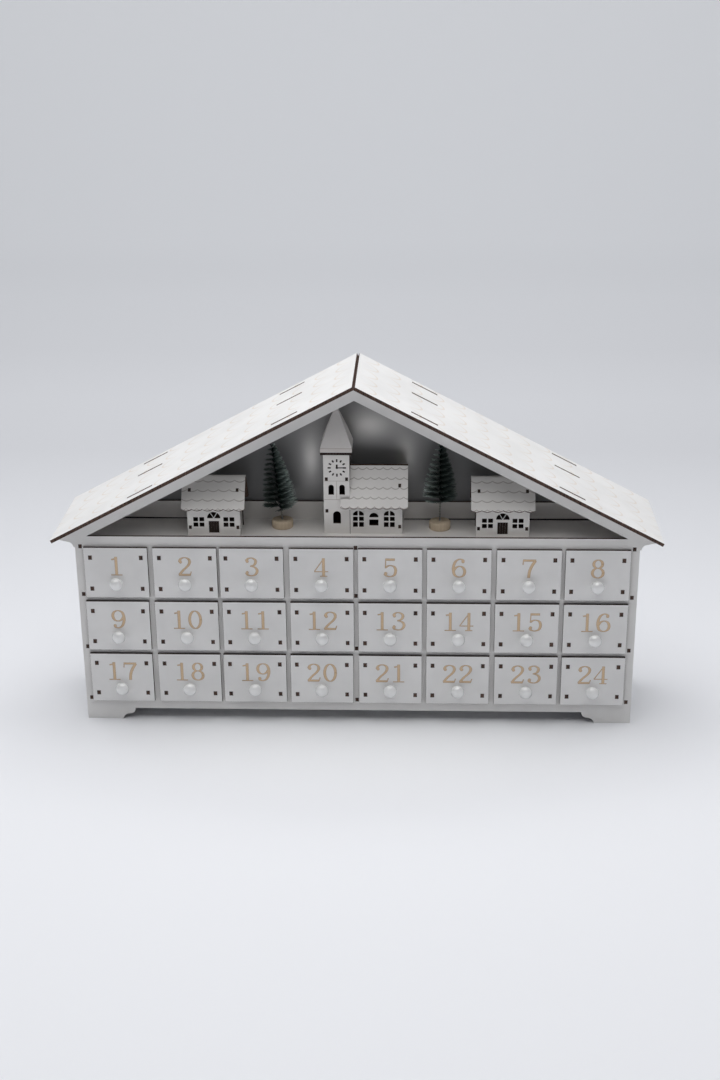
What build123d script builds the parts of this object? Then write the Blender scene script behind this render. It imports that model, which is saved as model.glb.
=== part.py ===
from build123d import *
import math
import os

# Advent calendar house of thin laser-cut boards: a cabinet with 24 small drawers under a gable roof,
# and on the stage in the gable a church, two cottages and two bottle-brush trees before a mirror.
# Millimetres. +X runs along the front, -Y faces the viewer, +Z is up and the feet stand on Z = 0.

os.makedirs("parts", exist_ok=True)

# Boards and joinery
board = 2.5                 # thickness of every board of the cabinet
small_board = 2.0           # thickness of the boards of the small houses
tab_height = 3.0            # height of the small tab ends that show in the front plate
tab_play = 0.1              # free gap on each side of a tab in its slot
tab_root = 0.5              # how far the outline of a tab runs back into its board

# Drawer grid
rows = 3
columns = 8
column_pitch = 51.3
row_pitch = 43.7
front_gap = 3.3             # white bar that shows between two drawer fronts

# Drawers
box_width = 40.75           # outside width of a drawer box
box_height = 34.0
side_play = 1.25            # free gap between a drawer box and the side of its window
top_play = 2.0              # free gap above a drawer box in its window
drawer_lift = 0.2           # running gap between a drawer and its shelf
drawer_back_gap = 6.0       # free space behind a closed drawer
front_drop = 2.6            # how far a drawer front hangs below the top of its shelf
wall_tab_spacing = 25.2     # distance between the two tabs of a drawer wall
left_share = 0.75           # share of the side play that a drawer pushed to the left has taken up
right_share = 0.4           # the same for a drawer pushed to the right
pushed_left = (3, 9, 17, 19, 20)
pushed_right = (2, 7, 23)

# Drawer knobs
knob_diameter = 10.0
knob_reach = 8.0            # how far a knob stands out from its drawer front
knob_neck = 5.4             # diameter of the neck
knob_drop = 7.8             # knob axis below the middle of the drawer front

# Front plate
post_width = 8.8            # from the outer windows to the edge of the plate
rail_height = 10.0          # from the underside of the bottom rail to the top of the bottom shelf
foot_height = 9.0
foot_width = 37.5           # a foot where it leaves the rail
foot_toe = 27.5             # a foot where it stands
beam_lip = 2.3              # how far the beam stands above the stage floor
side_inset = 2.65           # from the edge of the plate to the outer face of a side panel
plate_tab_rise = 1.0        # plate tabs sit this far below the top of each shelf
top_tab_drop = 5.8          # the highest plate tabs sit this far below the stage floor
ear_drop = 8.8              # underside of the ears below the top of the beam
ear_step = 1.2
ear_cove = 4.2              # radius of the cove under an ear

# Depths, measured from the front face of the front plate
body_depth = 79.0           # to the back face of the back panel
stage_depth = 48.75         # to the front face of the stage backboard
mirror_thickness = 2.0
sheet_gap = 0.4             # gap round the edge of the mirror and of its ledge
ledge_height = 14.3

# Roof
roof_angle = 27.7           # pitch of the roof in degrees
eave_rise = 5.5             # underside of the roof above the beam, at the edge of the plate
eave_overhang = 15.3        # roof past the edge of the plate, on each side
rafter_width = 9.1          # width of the sloping bars above the gable opening
roof_front = 8.5            # roof past the front plate
roof_back = 5.5             # roof past the back panel
roof_tab_length = 21.5
roof_tab_high = 0.22        # place of the upper roof tabs, as a share of the slope from the ridge
roof_tab_low = 0.70

# Shelf tabs in the side panels
shelf_tab_width = 12.0

# Cottages
cottage_width = 39.6
cottage_depth = 24.0
cottage_wall = 25.0         # height of the front wall
cottage_angle = 55.0
cottage_eave = 3.2          # roof past the front wall
cottage_verge = 3.8         # roof past the ends of the front wall
cottage_scallops = 6
cottage_front = 9.0         # front wall behind the face of the front plate
left_cottage_x = -106.0
right_cottage_x = 109.0

# Church
tower_width = 19.4
tower_height = 62.5
tower_x = -14.2             # middle of the tower
church_front = 14.2         # front walls behind the face of the front plate
church_back_gap = 0.85      # free gap between the roof of the nave and the mirror
nave_length = 39.1
nave_wall = 27.5
nave_angle = 59.0
nave_eave = 4.0
nave_verge = 4.1
nave_scallops = 7
nave_lap = 6.9              # lowest shingle row that laps the tower
spire_width = 23.4
spire_plate = 2.0           # thickness of the plate under the spire
spire_fascia = 3.1
spire_flare_height = 11.8   # from the fascia to the break in the slope
spire_break_width = 15.0
spire_peak_height = 17.0    # from the break to the tip

# House windows
glazing_bar = 1.0           # bars between the panes
house_tab = 2.6             # length of the small tabs of the houses
door_recess = 0.7

# Bottle-brush trees
tree_height = 66.5
tree_base_diameter = 16.0
tree_base_height = 6.0
tree_wire = 1.7             # diameter of the twisted wire
brush_diameter = 25.0
bristles_per_tree = 160
bristle_radius = 0.3
bristle_tilt = 12.0         # bristles point up by this angle
wire_sink = 3.0             # how deep the wire is set into its disc
left_tree_x = -56.4
left_tree_back = 18.4       # from the foot of the left tree back to the mirror
left_tree_lean = -6.2       # the left tree leans to the left
left_brush_start = 14.0     # lowest bristles above the stage floor
right_tree_x = 62.6
right_tree_back = 20.2
right_tree_lean = 0.3
right_brush_start = 20.5

# Sizes that follow from the ones above
window_width = box_width + 2 * side_play
window_height = drawer_lift + box_height + top_play
front_width = column_pitch - front_gap
front_height = row_pitch - front_gap
plate_half = ((columns - 1) * column_pitch + window_width) / 2 + post_width
first_shelf_top = foot_height + rail_height
stage_top = first_shelf_top + rows * row_pitch
beam_top = stage_top + beam_lip
side_outer = plate_half - side_inset
side_inner = side_outer - board
slope = math.radians(roof_angle)
roof_reach = plate_half + eave_overhang
ridge_under = beam_top + eave_rise + plate_half * math.tan(slope)
slope_length = roof_reach / math.cos(slope)
roof_depth = roof_front + body_depth + roof_back
inside_depth = body_depth - 2 * board
box_length = body_depth - board - drawer_back_gap
mirror_depth = stage_depth - mirror_thickness
ledge_depth = mirror_depth - board
nave_roof_run = nave_eave + small_board * math.sin(math.radians(nave_angle))
nave_depth = mirror_depth - church_back_gap - nave_roof_run - church_front

# The front and back of the whole object lie equally far from the origin.
front_reach = max(roof_front, board + knob_reach)
plate_y = (front_reach - body_depth - roof_back) / 2


def shelf_top(level):
    """Height of the top of a shelf; level 0 is the bottom board and level 3 the stage floor."""
    return first_shelf_top + level * row_pitch


def roof_under(x):
    """Height of the underside of the roof at a distance x from the middle."""
    return ridge_under - abs(x) * math.tan(slope)


def across(shape, depth, thickness=board):
    """A board that faces the viewer, drawn in X and Z, its front face at this depth."""
    return extrude(Plane.XZ.offset(-(plate_y + depth + thickness)) * shape, amount=thickness)


def along(shape, x, thickness=board):
    """A board that faces sideways, drawn in depth and Z, its left face at x."""
    return extrude(Plane.YZ.offset(x) * Pos(plate_y, 0) * shape, amount=thickness)


def level_board(shape, z, thickness=board):
    """A level board, drawn in X and depth, its underside at z."""
    return extrude(Plane.XY.offset(z) * Pos(0, plate_y) * shape, amount=thickness)


def rect(x0, x1, y0, y1):
    """A rectangle between two corners."""
    return Pos((x0 + x1) / 2, (y0 + y1) / 2) * Rectangle(x1 - x0, y1 - y0)


def both_sides(half):
    """A face and its mirror image across the middle, joined."""
    return half + mirror(half, about=Plane.YZ)


def save(node, solids):
    """Write the solids of one node."""
    export_step(Compound(children=list(solids)), "parts/" + node + ".step")


def foot_edges(toe, heel):
    """The inner outline of a foot, from its toe on the ground up a round and a cove to the rail."""
    run = toe - heel
    knee = (heel + 0.40 * run, 0.48 * foot_height)
    round_mid = (heel + 0.81 * run, 0.33 * foot_height)
    cove_mid = (heel + 0.11 * run, 0.64 * foot_height)
    lower = ThreePointArc((toe, 0), round_mid, knee)
    upper = ThreePointArc(knee, cove_mid, (heel, foot_height))
    return [lower, upper]


def gable_outline():
    """The outline shared by the front plate and the back panel: feet, posts, ears and gable."""
    heel = plate_half - foot_width
    toe = plate_half - foot_toe
    ear_z = beam_top - ear_drop
    cove_x = plate_half + ear_step
    cove_end = (cove_x + ear_cove, ear_z + ear_cove)
    bend = ear_cove * (1 - math.sqrt(0.5))
    cove_mid = (cove_x + bend, ear_z + ear_cove - bend)
    tip_x = roof_reach - 0.03 * eave_overhang
    edges = [Line((0, foot_height), (heel, foot_height))]
    edges += foot_edges(toe, heel)[::-1]
    edges.append(Polyline((toe, 0), (plate_half, 0), (plate_half, ear_z), (cove_x, ear_z)))
    edges.append(ThreePointArc((cove_x, ear_z), cove_mid, cove_end))
    edges.append(Polyline(cove_end, (tip_x, roof_under(tip_x)), (0, ridge_under), (0, foot_height)))
    return both_sides(make_face(edges))


def slope_spot(along_slope, above):
    """A point in X and Z at a distance down the right slope and above its underside."""
    x = along_slope * math.cos(slope) + above * math.sin(slope)
    z = ridge_under - along_slope * math.sin(slope) + above * math.cos(slope)
    return (x, z)


def roof_tabs():
    """The four tabs with which a gable plate passes through the roof."""
    tabs = Sketch()
    for share in (roof_tab_high, roof_tab_low):
        x, z = slope_spot(share * slope_length, (board - tab_root) / 2)
        tab = Pos(x, z) * Rot(0, 0, -roof_angle) * Rectangle(roof_tab_length, board + tab_root)
        tabs += both_sides(tab)
    return tabs


# Heights of the tabs with which the side panels and the centre divider pass through the plates
plate_tabs = [shelf_top(level) - plate_tab_rise for level in range(rows)]
plate_tabs.append(stage_top - top_tab_drop)
side_middle = side_inner + board / 2


def plate_slots(centre_tabs):
    """The slots for the tabs of the two side panels and of the centre divider."""
    slot = Rectangle(board + 2 * tab_play, tab_height + 2 * tab_play)
    slots = Sketch()
    for z in plate_tabs:
        slots += Pos(-side_middle, z) * slot
        slots += Pos(side_middle, z) * slot
    for z in centre_tabs:
        slots += Pos(0, z) * slot
    return slots


# Front plate with its 24 windows and the open gable
column_x = [(c - (columns - 1) / 2) * column_pitch for c in range(columns)]
windows = Sketch()
for x in column_x:
    for r in range(rows):
        z = shelf_top(r)
        windows += rect(x - window_width / 2, x + window_width / 2, z, z + window_height)
opening_top = ridge_under - rafter_width / math.cos(slope)
opening_half = (opening_top - beam_top) / math.tan(slope)
gable_opening = make_face(
    Polyline((-opening_half, beam_top), (opening_half, beam_top), (0, opening_top), close=True)
)
front_plate = gable_outline() + roof_tabs() - windows - gable_opening - plate_slots(plate_tabs)
save("front_frame", [across(front_plate, 0)])

# Back panel, closed, on the same outline
back_plate = gable_outline() + roof_tabs() - plate_slots(plate_tabs[-1:])
back_depth = body_depth - board
save("back_panel", [across(back_plate, back_depth)])

# Stage backboard: the gable plate in the middle, standing on the stage floor
backboard = both_sides(
    make_face(
        Polyline(
            (0, stage_top), (side_inner, stage_top), (side_inner, roof_under(side_inner)), (0, ridge_under),
            close=True,
        )
    )
)
save("stage_backboard", [across(backboard + roof_tabs(), stage_depth)])


# Mirror sheet in front of the backboard, and the strip that holds its foot
def stage_sheet(top):
    """A sheet that fills the stage up to a height, kept a small gap off the sides and the roof."""
    half = side_inner - sheet_gap
    roof_gap = sheet_gap / math.cos(slope)
    if roof_under(half) - roof_gap >= top:
        return rect(-half, half, stage_top, top)
    if top >= ridge_under - roof_gap:
        peak = [(0, ridge_under - roof_gap)]
    else:
        peak = [((ridge_under - roof_gap - top) / math.tan(slope), top), (0, top)]
    points = [(0, stage_top), (half, stage_top), (half, roof_under(half) - roof_gap)] + peak
    return both_sides(make_face(Polyline(*points, close=True)))


save("mirror_sheet", [across(stage_sheet(ridge_under), mirror_depth, mirror_thickness)])
save("stage_ledge", [across(stage_sheet(stage_top + ledge_height), ledge_depth)])

# Side panels, with tabs into both plates and slots for the shelves
shelf_tab_spots = [board + inside_depth * share for share in (0.27, 0.73)]
side_foot = 0.30 * body_depth
side_toe = side_foot * foot_toe / foot_width
side_top = roof_under(side_outer)
side_shape = rect(board, back_depth, 0, side_top)
side_mid = body_depth / 2
arch_half = make_face(
    [Polyline((side_mid - side_toe, 0), (0, 0), (0, foot_height), (side_mid - side_foot, foot_height))]
    + foot_edges(side_mid - side_toe, side_mid - side_foot)
)
side_shape -= Pos(side_mid, 0) * both_sides(arch_half)
for z in plate_tabs:
    side_shape += rect(0, board + tab_root, z - tab_height / 2, z + tab_height / 2)
    side_shape += rect(back_depth - tab_root, body_depth, z - tab_height / 2, z + tab_height / 2)
for level in range(rows + 1):
    for spot in shelf_tab_spots:
        slot = Rectangle(shelf_tab_width + 2 * tab_play, board + 2 * tab_play)
        side_shape -= Pos(spot, shelf_top(level) - board / 2) * slot
save("left_side_panel", [along(side_shape, -side_outer)])
save("right_side_panel", [along(side_shape, side_inner)])

# Dividers between the columns, half-lapped with the shelves
divider_x = [(c - columns / 2) * column_pitch for c in range(1, columns)]
lap_middle = board + inside_depth / 2
lap_width = board + 2 * tab_play
divider_bottom = first_shelf_top
divider_top = stage_top - board
divider_shape = rect(board, back_depth, divider_bottom, divider_top)
for level in range(1, rows):
    z = shelf_top(level) - board / 2
    divider_shape -= rect(lap_middle, back_depth, z - lap_width / 2, z + lap_width / 2)
side_dividers = [along(divider_shape, x - board / 2) for x in divider_x if abs(x) > 1]
save("column_dividers", side_dividers)

# Centre divider: deeper, through the bottom board, with tabs into both plates
centre_shape = rect(board, back_depth, first_shelf_top - board, divider_top)
for level in range(rows):
    z = shelf_top(level) - board / 2
    low = z - lap_width / 2 if level else first_shelf_top - board
    centre_shape -= rect(lap_middle, back_depth, low, z + lap_width / 2)
for z in plate_tabs:
    centre_shape += rect(0, board + tab_root, z - tab_height / 2, z + tab_height / 2)
for z in plate_tabs[-1:]:
    centre_shape += rect(back_depth - tab_root, body_depth, z - tab_height / 2, z + tab_height / 2)
save("centre_divider", [along(centre_shape, -board / 2)])


# Shelves, with tabs through the side panels and laps for the dividers
def shelf_shape(laps):
    """A shelf seen from above, with a lap for each divider that crosses it."""
    shape = rect(-side_inner, side_inner, board, back_depth)
    for spot in shelf_tab_spots:
        shape += rect(-side_outer, side_outer, spot - shelf_tab_width / 2, spot + shelf_tab_width / 2)
    for x in laps:
        shape -= rect(x - lap_width / 2, x + lap_width / 2, board, lap_middle)
    return shape


save("bottom_board", [level_board(shelf_shape([0]), first_shelf_top - board)])
save("lower_shelf", [level_board(shelf_shape(divider_x), shelf_top(1) - board)])
save("upper_shelf", [level_board(shelf_shape(divider_x), shelf_top(2) - board)])
save("stage_floor", [level_board(shelf_shape([]), stage_top - board)])

# Roof panels: square-cut boards whose inner corners meet at the ridge
roof_origin = (0, plate_y, ridge_under)
roof_plane = Plane(
    origin=roof_origin,
    x_dir=(math.cos(slope), 0, -math.sin(slope)),
    z_dir=(math.sin(slope), 0, math.cos(slope)),
)
roof_shape = rect(0, slope_length, -roof_front, roof_depth - roof_front)
for share in (roof_tab_high, roof_tab_low):
    for depth in (0, stage_depth, back_depth):
        slot = Rectangle(roof_tab_length + 2 * tab_play, board + 2 * tab_play)
        roof_shape -= Pos(share * slope_length, depth + board / 2) * slot
right_roof = extrude(roof_plane * roof_shape, amount=board)
save("right_roof_panel", [right_roof])
save("left_roof_panel", [mirror(right_roof, about=Plane.YZ)])


# One drawer: an overlay front, four walls, a bottom and a turned knob
def knob():
    """A turned knob on the Y axis, its foot at Y = 0 and its dome towards the viewer."""
    neck = knob_neck / 2
    rim = knob_diameter / 2
    waist = 0.28 * knob_reach
    widest = 0.56 * knob_reach
    rise = knob_reach - widest
    dome_radius = (rim**2 + rise**2) / (2 * rise)
    half_turn = math.atan2(rim, dome_radius - rise) / 2
    dome_mid = (
        dome_radius * math.sin(half_turn),
        knob_reach - dome_radius * (1 - math.cos(half_turn)),
    )
    profile = make_face(
        [
            Polyline((0, knob_reach), (0, 0), (neck, 0), (neck, waist), (rim, widest)),
            ThreePointArc((rim, widest), dome_mid, (0, knob_reach)),
        ]
    )
    upright = revolve(Plane.XZ * profile, axis=Axis.Z)
    return Rot(90, 0, 0) * upright


drawer_knob = knob()
half_box = box_width / 2


def drawer(number):
    """The six boards and turnings of one drawer, closed in its place."""
    c = (number - 1) % columns
    r = rows - 1 - (number - 1) // columns
    x = column_x[c]
    if number in pushed_left:
        x -= left_share * side_play
    if number in pushed_right:
        x += right_share * side_play
    low = shelf_top(r) + drawer_lift
    middle = low + box_height / 2
    front_low = shelf_top(r) - front_drop
    tab_z = (middle - wall_tab_spacing / 2, middle + wall_tab_spacing / 2)
    front = rect(x - front_width / 2, x + front_width / 2, front_low, front_low + front_height)
    wall = rect(0, box_length, low, low + box_height)
    wall_offset = half_box - board / 2
    for z in tab_z:
        wall += rect(-board, tab_root, z - tab_height / 2, z + tab_height / 2)
        for side in (-wall_offset, wall_offset):
            front -= Pos(x + side, z) * Rectangle(board + 2 * tab_play, tab_height + 2 * tab_play)
    inner = half_box - board
    back = rect(x - inner, x + inner, low, low + box_height)
    bottom = rect(x - inner, x + inner, 0, box_length - board)
    knob_z = front_low + front_height / 2 - knob_drop
    return [
        across(front, -board),
        along(wall, x - half_box),
        along(wall, x + inner),
        across(back, box_length - board),
        level_board(bottom, low),
        Pos(x, plate_y - board, knob_z) * drawer_knob,
    ]


for number in range(1, rows * columns + 1):
    save("drawer_%02d" % number, drawer(number))


# Parts that the small houses share
def house_front(x, width, height, depth, holes):
    """A front wall on the stage, drawn from its own lower middle, with its windows cut out."""
    wall = rect(-width / 2, width / 2, 0, height)
    return across(Pos(x, stage_top) * (wall - holes), depth, small_board)


def arch_window(x, z, width, height, rise):
    """A window whose head is an arc that rises above the jambs."""
    r = width / 2
    spring = z + height - rise
    jambs = Polyline((x - r, spring), (x - r, z), (x + r, z), (x + r, spring))
    return make_face(jambs + ThreePointArc((x + r, spring), (x, z + height), (x - r, spring)))


def fanlight(x, z, radius):
    """A half-round light."""
    return Pos(x, z) * (Circle(radius) & rect(-radius, radius, 0, radius))


def bars(x, z, width, height, across_panes, up_panes):
    """The glazing bars that divide a window into panes."""
    grid = Sketch()
    for k in range(1, across_panes):
        u = x - width / 2 + k * width / across_panes
        grid += rect(u - glazing_bar / 2, u + glazing_bar / 2, z - 1, z + height + 1)
    for k in range(1, up_panes):
        v = z + k * height / up_panes
        grid += rect(x - width / 2 - 1, x + width / 2 + 1, v - glazing_bar / 2, v + glazing_bar / 2)
    return grid


def wall_tab_slots(spots):
    """Slots for the tabs of the end walls in a front wall."""
    slots = Sketch()
    for x, z in spots:
        slots += Pos(x, z) * Rectangle(small_board + 2 * tab_play, house_tab + 2 * tab_play)
    return slots


def gable_wall(front_depth, depth, wall, angle, tab_share, tab_z, eave):
    """An end wall under a steep roof, with tabs through the front wall and the roof."""
    tilt = math.radians(angle)
    mid = front_depth + depth / 2
    first = front_depth + small_board
    shoulder = stage_top + wall + small_board * math.tan(tilt)
    peak = stage_top + wall + depth / 2 * math.tan(tilt)
    half = make_face(
        Polyline((0, stage_top), (mid - first, stage_top), (mid - first, shoulder), (0, peak), close=True)
    )
    length = (depth / 2 + eave) / math.cos(tilt)
    away = tab_share * length
    up = (small_board - tab_root) / 2
    tab_x = away * math.cos(tilt) + up * math.sin(tilt)
    tab_y = peak - away * math.sin(tilt) + up * math.cos(tilt)
    half += Pos(tab_x, tab_y) * Rot(0, 0, -angle) * Rectangle(house_tab, small_board + tab_root)
    shape = Pos(mid, 0) * both_sides(half)
    for z in tab_z:
        low = stage_top + z - house_tab / 2
        shape += rect(front_depth, first + tab_root, low, low + house_tab)
    return shape


def shingle_edge(left, right, low, count):
    """The scalloped lower edge of a roof board, from left to right."""
    pitch = (right - left) / count
    depth = 0.16 * pitch
    edges = []
    for k in range(count):
        u = left + k * pitch
        edges.append(ThreePointArc((u, low + depth), (u + pitch / 2, low), (u + pitch, low + depth)))
    return edges, low + depth


def house_roof(front_depth, depth, wall, angle, eave, left, right, count, tabs, tab_share, lap=0):
    """Two steep roof boards whose inner corners meet at the ridge; the lap passes before a tower."""
    tilt = math.radians(angle)
    mid = plate_y + front_depth + depth / 2
    peak = stage_top + wall + depth / 2 * math.tan(tilt)
    length = (depth / 2 + eave) / math.cos(tilt)
    slope_plane = Plane(
        origin=(0, mid, peak), x_dir=(1, 0, 0), z_dir=(0, -math.sin(tilt), math.cos(tilt))
    )
    slots = Sketch()
    for x in tabs:
        slots += Pos(x, -tab_share * length) * Rectangle(small_board + 2 * tab_play, house_tab + 2 * tab_play)
    edges, corner = shingle_edge(left, right, -length, count)
    plain = make_face(edges + [Polyline((right, corner), (right, 0), (left, 0), (left, corner))])
    front = plain
    if lap:
        lap_top = -length + 0.97 * eave / math.cos(tilt)
        lap_edges, corner = shingle_edge(left - lap, left, -length, 1)
        lap_left = left - lap
        lap_sides = Polyline((left, corner), (left, lap_top), (lap_left, lap_top), (lap_left, corner))
        front += make_face(lap_edges + [lap_sides])
    front_board = extrude(slope_plane * (front - slots), amount=small_board)
    back_board = extrude(slope_plane * (plain - slots), amount=small_board)
    return [front_board, mirror(back_board, about=Plane.XZ.offset(-mid))]


# Cottages
cottage_tab_inset = 1.95
cottage_tab_x = cottage_width / 2 - cottage_tab_inset
cottage_tab_z = 0.26 * cottage_wall
cottage_tab_share = 0.40
pane_width = 0.205 * cottage_width
pane_height = 0.30 * cottage_wall
pane_x = 0.285 * cottage_width
pane_z = 0.28 * cottage_wall
fan_radius = 0.125 * cottage_width
fan_z = 0.55 * cottage_wall
door_width = 0.20 * cottage_width
door_low = 0.09 * cottage_wall
door_high = 0.46 * cottage_wall


def cottage(name, x):
    """A cottage: front wall, end walls with a back wall, and a shingled roof."""
    holes = Sketch()
    for side in (-pane_x, pane_x):
        pane = rect(side - pane_width / 2, side + pane_width / 2, pane_z, pane_z + pane_height)
        holes += pane - bars(side, pane_z, pane_width, pane_height, 2, 2)
    fan = fanlight(0, fan_z, fan_radius)
    for turn in (-30, 30):
        fan -= Pos(0, fan_z) * Rot(0, 0, turn) * Rectangle(0.5 * glazing_bar, 3 * fan_radius)
    holes += fan
    holes += wall_tab_slots([(-cottage_tab_x, cottage_tab_z), (cottage_tab_x, cottage_tab_z)])
    front = house_front(x, cottage_width, cottage_wall, cottage_front, holes)
    door = rect(x - door_width / 2, x + door_width / 2, stage_top + door_low, stage_top + door_high)
    front -= across(door, cottage_front, door_recess)
    save(name + "_front", [front])
    end = gable_wall(
        cottage_front,
        cottage_depth,
        cottage_wall,
        cottage_angle,
        cottage_tab_share,
        [cottage_tab_z],
        cottage_eave,
    )
    back = rect(x - cottage_width / 2, x + cottage_width / 2, stage_top, stage_top + cottage_wall)
    walls = [
        along(end, x - cottage_tab_x - small_board / 2, small_board),
        along(end, x + cottage_tab_x - small_board / 2, small_board),
        across(back, cottage_front + cottage_depth - small_board, small_board),
    ]
    save(name + "_walls", walls)
    roof = house_roof(
        cottage_front,
        cottage_depth,
        cottage_wall,
        cottage_angle,
        cottage_eave,
        x - cottage_width / 2 - cottage_verge,
        x + cottage_width / 2 + cottage_verge,
        cottage_scallops,
        (x - cottage_tab_x, x + cottage_tab_x),
        cottage_tab_share,
    )
    save(name + "_roof", roof)


cottage("left_cottage", left_cottage_x)
cottage("right_cottage", right_cottage_x)

# Church tower
tower_tab_x = tower_width / 2 - 2.2
tower_tab_z = (0.29 * tower_height, 0.69 * tower_height)
tower_door = 0.30 * tower_width
tower_light = 0.21 * tower_width
tower_holes = arch_window(0, 0.13 * tower_height, tower_door, 0.155 * tower_height, tower_door / 2)
for side in (-1, 1):
    tower_holes += arch_window(
        side * tower_light, 0.495 * tower_height, tower_light, 0.125 * tower_height, tower_light / 2
    )
# The roof of the nave laps the tower on the right, so that side has no lower tab
left_spots = [(-tower_tab_x, z) for z in tower_tab_z]
right_spots = [(tower_tab_x, tower_tab_z[1])]
tower_holes += wall_tab_slots(left_spots + right_spots)
save("church_tower_front", [house_front(tower_x, tower_width, tower_height, church_front, tower_holes)])
tower_back = church_front + tower_width


def tower_side(spots):
    """A side wall of the tower, with tabs through the front at the given spots."""
    first = church_front + small_board
    wall = rect(first, tower_back - small_board, stage_top, stage_top + tower_height)
    for _, z in spots:
        low = stage_top + z - house_tab / 2
        wall += rect(church_front, first + tab_root, low, low + house_tab)
    return wall


tower_rear = rect(
    tower_x - tower_width / 2, tower_x + tower_width / 2, stage_top, stage_top + tower_height
)
tower_walls = [
    along(tower_side(left_spots), tower_x - tower_tab_x - small_board / 2, small_board),
    along(tower_side(right_spots), tower_x + tower_tab_x - small_board / 2, small_board),
    across(tower_rear, tower_back - small_board, small_board),
]
save("church_tower_walls", tower_walls)

# Spire: a plate with dark edges, and a square cap on it that is steeper above a break
spire_y = plate_y + church_front + tower_width / 2
spire_base = stage_top + tower_height
cap_base = spire_base + spire_plate
flare_base = cap_base + spire_fascia
break_z = flare_base + spire_flare_height
tip_width = 0.05 * spire_width


def square_at(width, z):
    """A level square on the axis of the spire."""
    return Plane.XY.offset(z) * Pos(tower_x, spire_y) * Rectangle(width, width)


spire_cap = extrude(square_at(spire_width, cap_base), amount=spire_fascia)
spire_sections = [
    (spire_width, flare_base),
    (spire_break_width, break_z),
    (tip_width, break_z + spire_peak_height),
]
for (width, z), (next_width, next_z) in zip(spire_sections, spire_sections[1:]):
    lean_in = math.degrees(math.atan2((width - next_width) / 2, next_z - z))
    spire_cap += extrude(square_at(width, z), amount=next_z - z, taper=lean_in)
plate_under_spire = extrude(square_at(spire_width, spire_base), amount=spire_plate)
save("church_spire", [plate_under_spire, spire_cap])

# Church nave, built against the right side of the tower
nave_left = tower_x + tower_width / 2
nave_right = nave_left + nave_length
nave_mid = (nave_left + nave_right) / 2
nave_tab_x = nave_right - 2.0
nave_tab_z = 0.21 * nave_wall
nave_tab_share = 0.46
sash_width = 0.205 * nave_length
sash_height = 0.465 * nave_wall
sash_z = 0.20 * nave_wall
nave_holes = Sketch()
for share in (-0.34, 0.25):
    u = share * nave_length
    sash = arch_window(u, sash_z, sash_width, sash_height, 0.3 * sash_width)
    nave_holes += sash - bars(u, sash_z, sash_width, sash_height, 2, 3)
light_x = -0.045 * nave_length
light_radius = 0.088 * nave_length
nave_holes += fanlight(light_x, sash_z + 0.60 * sash_height, light_radius)
nave_holes += rect(
    light_x - light_radius, light_x + light_radius, sash_z + 0.09 * sash_height, sash_z + 0.45 * sash_height
)
nave_holes += wall_tab_slots([(nave_tab_x - nave_mid, nave_tab_z)])
save("church_nave_front", [house_front(nave_mid, nave_length, nave_wall, church_front, nave_holes)])
nave_end = gable_wall(
    church_front, nave_depth, nave_wall, nave_angle, nave_tab_share, [nave_tab_z], nave_eave
)
nave_rear = rect(nave_left, nave_right, stage_top, stage_top + nave_wall)
nave_walls = [
    along(nave_end, nave_tab_x - small_board / 2, small_board),
    across(nave_rear, church_front + nave_depth - small_board, small_board),
]
save("church_nave_walls", nave_walls)
nave_roof = house_roof(
    church_front,
    nave_depth,
    nave_wall,
    nave_angle,
    nave_eave,
    nave_left,
    nave_right + nave_verge,
    nave_scallops,
    (nave_tab_x,),
    nave_tab_share,
    nave_lap,
)
save("church_nave_roof", nave_roof)


# Bottle-brush trees
def brush_radius(share):
    """Reach of the bristles at a share of the brush's height: a short skirt, then a full cone."""
    skirt = min(1.0, 0.8 + 6.0 * share)
    cone = 1.0 - 0.35 * share - 0.5 * share**2
    return brush_diameter / 2 * skirt * cone


def brush(height):
    """Bristles round a length of wire, each a thin three-sided strand on a golden-angle helix."""
    core = Cylinder(tree_wire / 2, height, align=(Align.CENTER, Align.CENTER, Align.MIN))
    strands = []
    golden = 137.508
    foot = tree_wire / 2 - 0.35
    tilt = math.radians(bristle_tilt)
    for k in range(bristles_per_tree):
        share = (k + 0.5) / bristles_per_tree
        z = (0.012 + 0.955 * share) * height
        turn = math.radians(k * golden)
        out = (math.cos(turn) * math.cos(tilt), math.sin(turn) * math.cos(tilt), math.sin(tilt))
        root = (math.cos(turn) * foot, math.sin(turn) * foot, z)
        reach = brush_radius(share) / math.cos(tilt) - foot
        spot = Plane(origin=root, x_dir=(-math.sin(turn), math.cos(turn), 0), z_dir=out)
        strands.append(extrude(spot * RegularPolygon(bristle_radius, 3), amount=reach))
    return core.fuse(*strands)


def tree(name, x, back, lean, brush_start):
    """A wooden disc, a wire set into it that leans a little, and the brush on the wire."""
    upright = (Align.CENTER, Align.CENTER, Align.MIN)
    disc = Cylinder(tree_base_diameter / 2, tree_base_height, align=upright)
    disc = chamfer(disc.edges().filter_by(GeomType.CIRCLE), 0.04 * tree_base_diameter)
    lift = brush_start - tree_base_height
    leaning = Pos(0, 0, tree_base_height) * Rot(0, lean, 0)
    sunk = leaning * Pos(0, 0, -wire_sink)
    wire = sunk * Cylinder(tree_wire / 2, lift + wire_sink, align=upright)
    disc -= sunk * Cylinder(tree_wire / 2 + tab_play, lift + wire_sink, align=upright)
    top = leaning * Pos(0, 0, lift) * brush(tree_height - brush_start)
    place = Pos(x, plate_y + mirror_depth - back, stage_top)
    save(name + "_base", [place * disc])
    save(name + "_stem", [place * wire])
    save(name + "_brush", [place * top])


tree("left_tree", left_tree_x, left_tree_back, left_tree_lean, left_brush_start)
tree("right_tree", right_tree_x, right_tree_back, right_tree_lean, right_brush_start)
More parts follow.
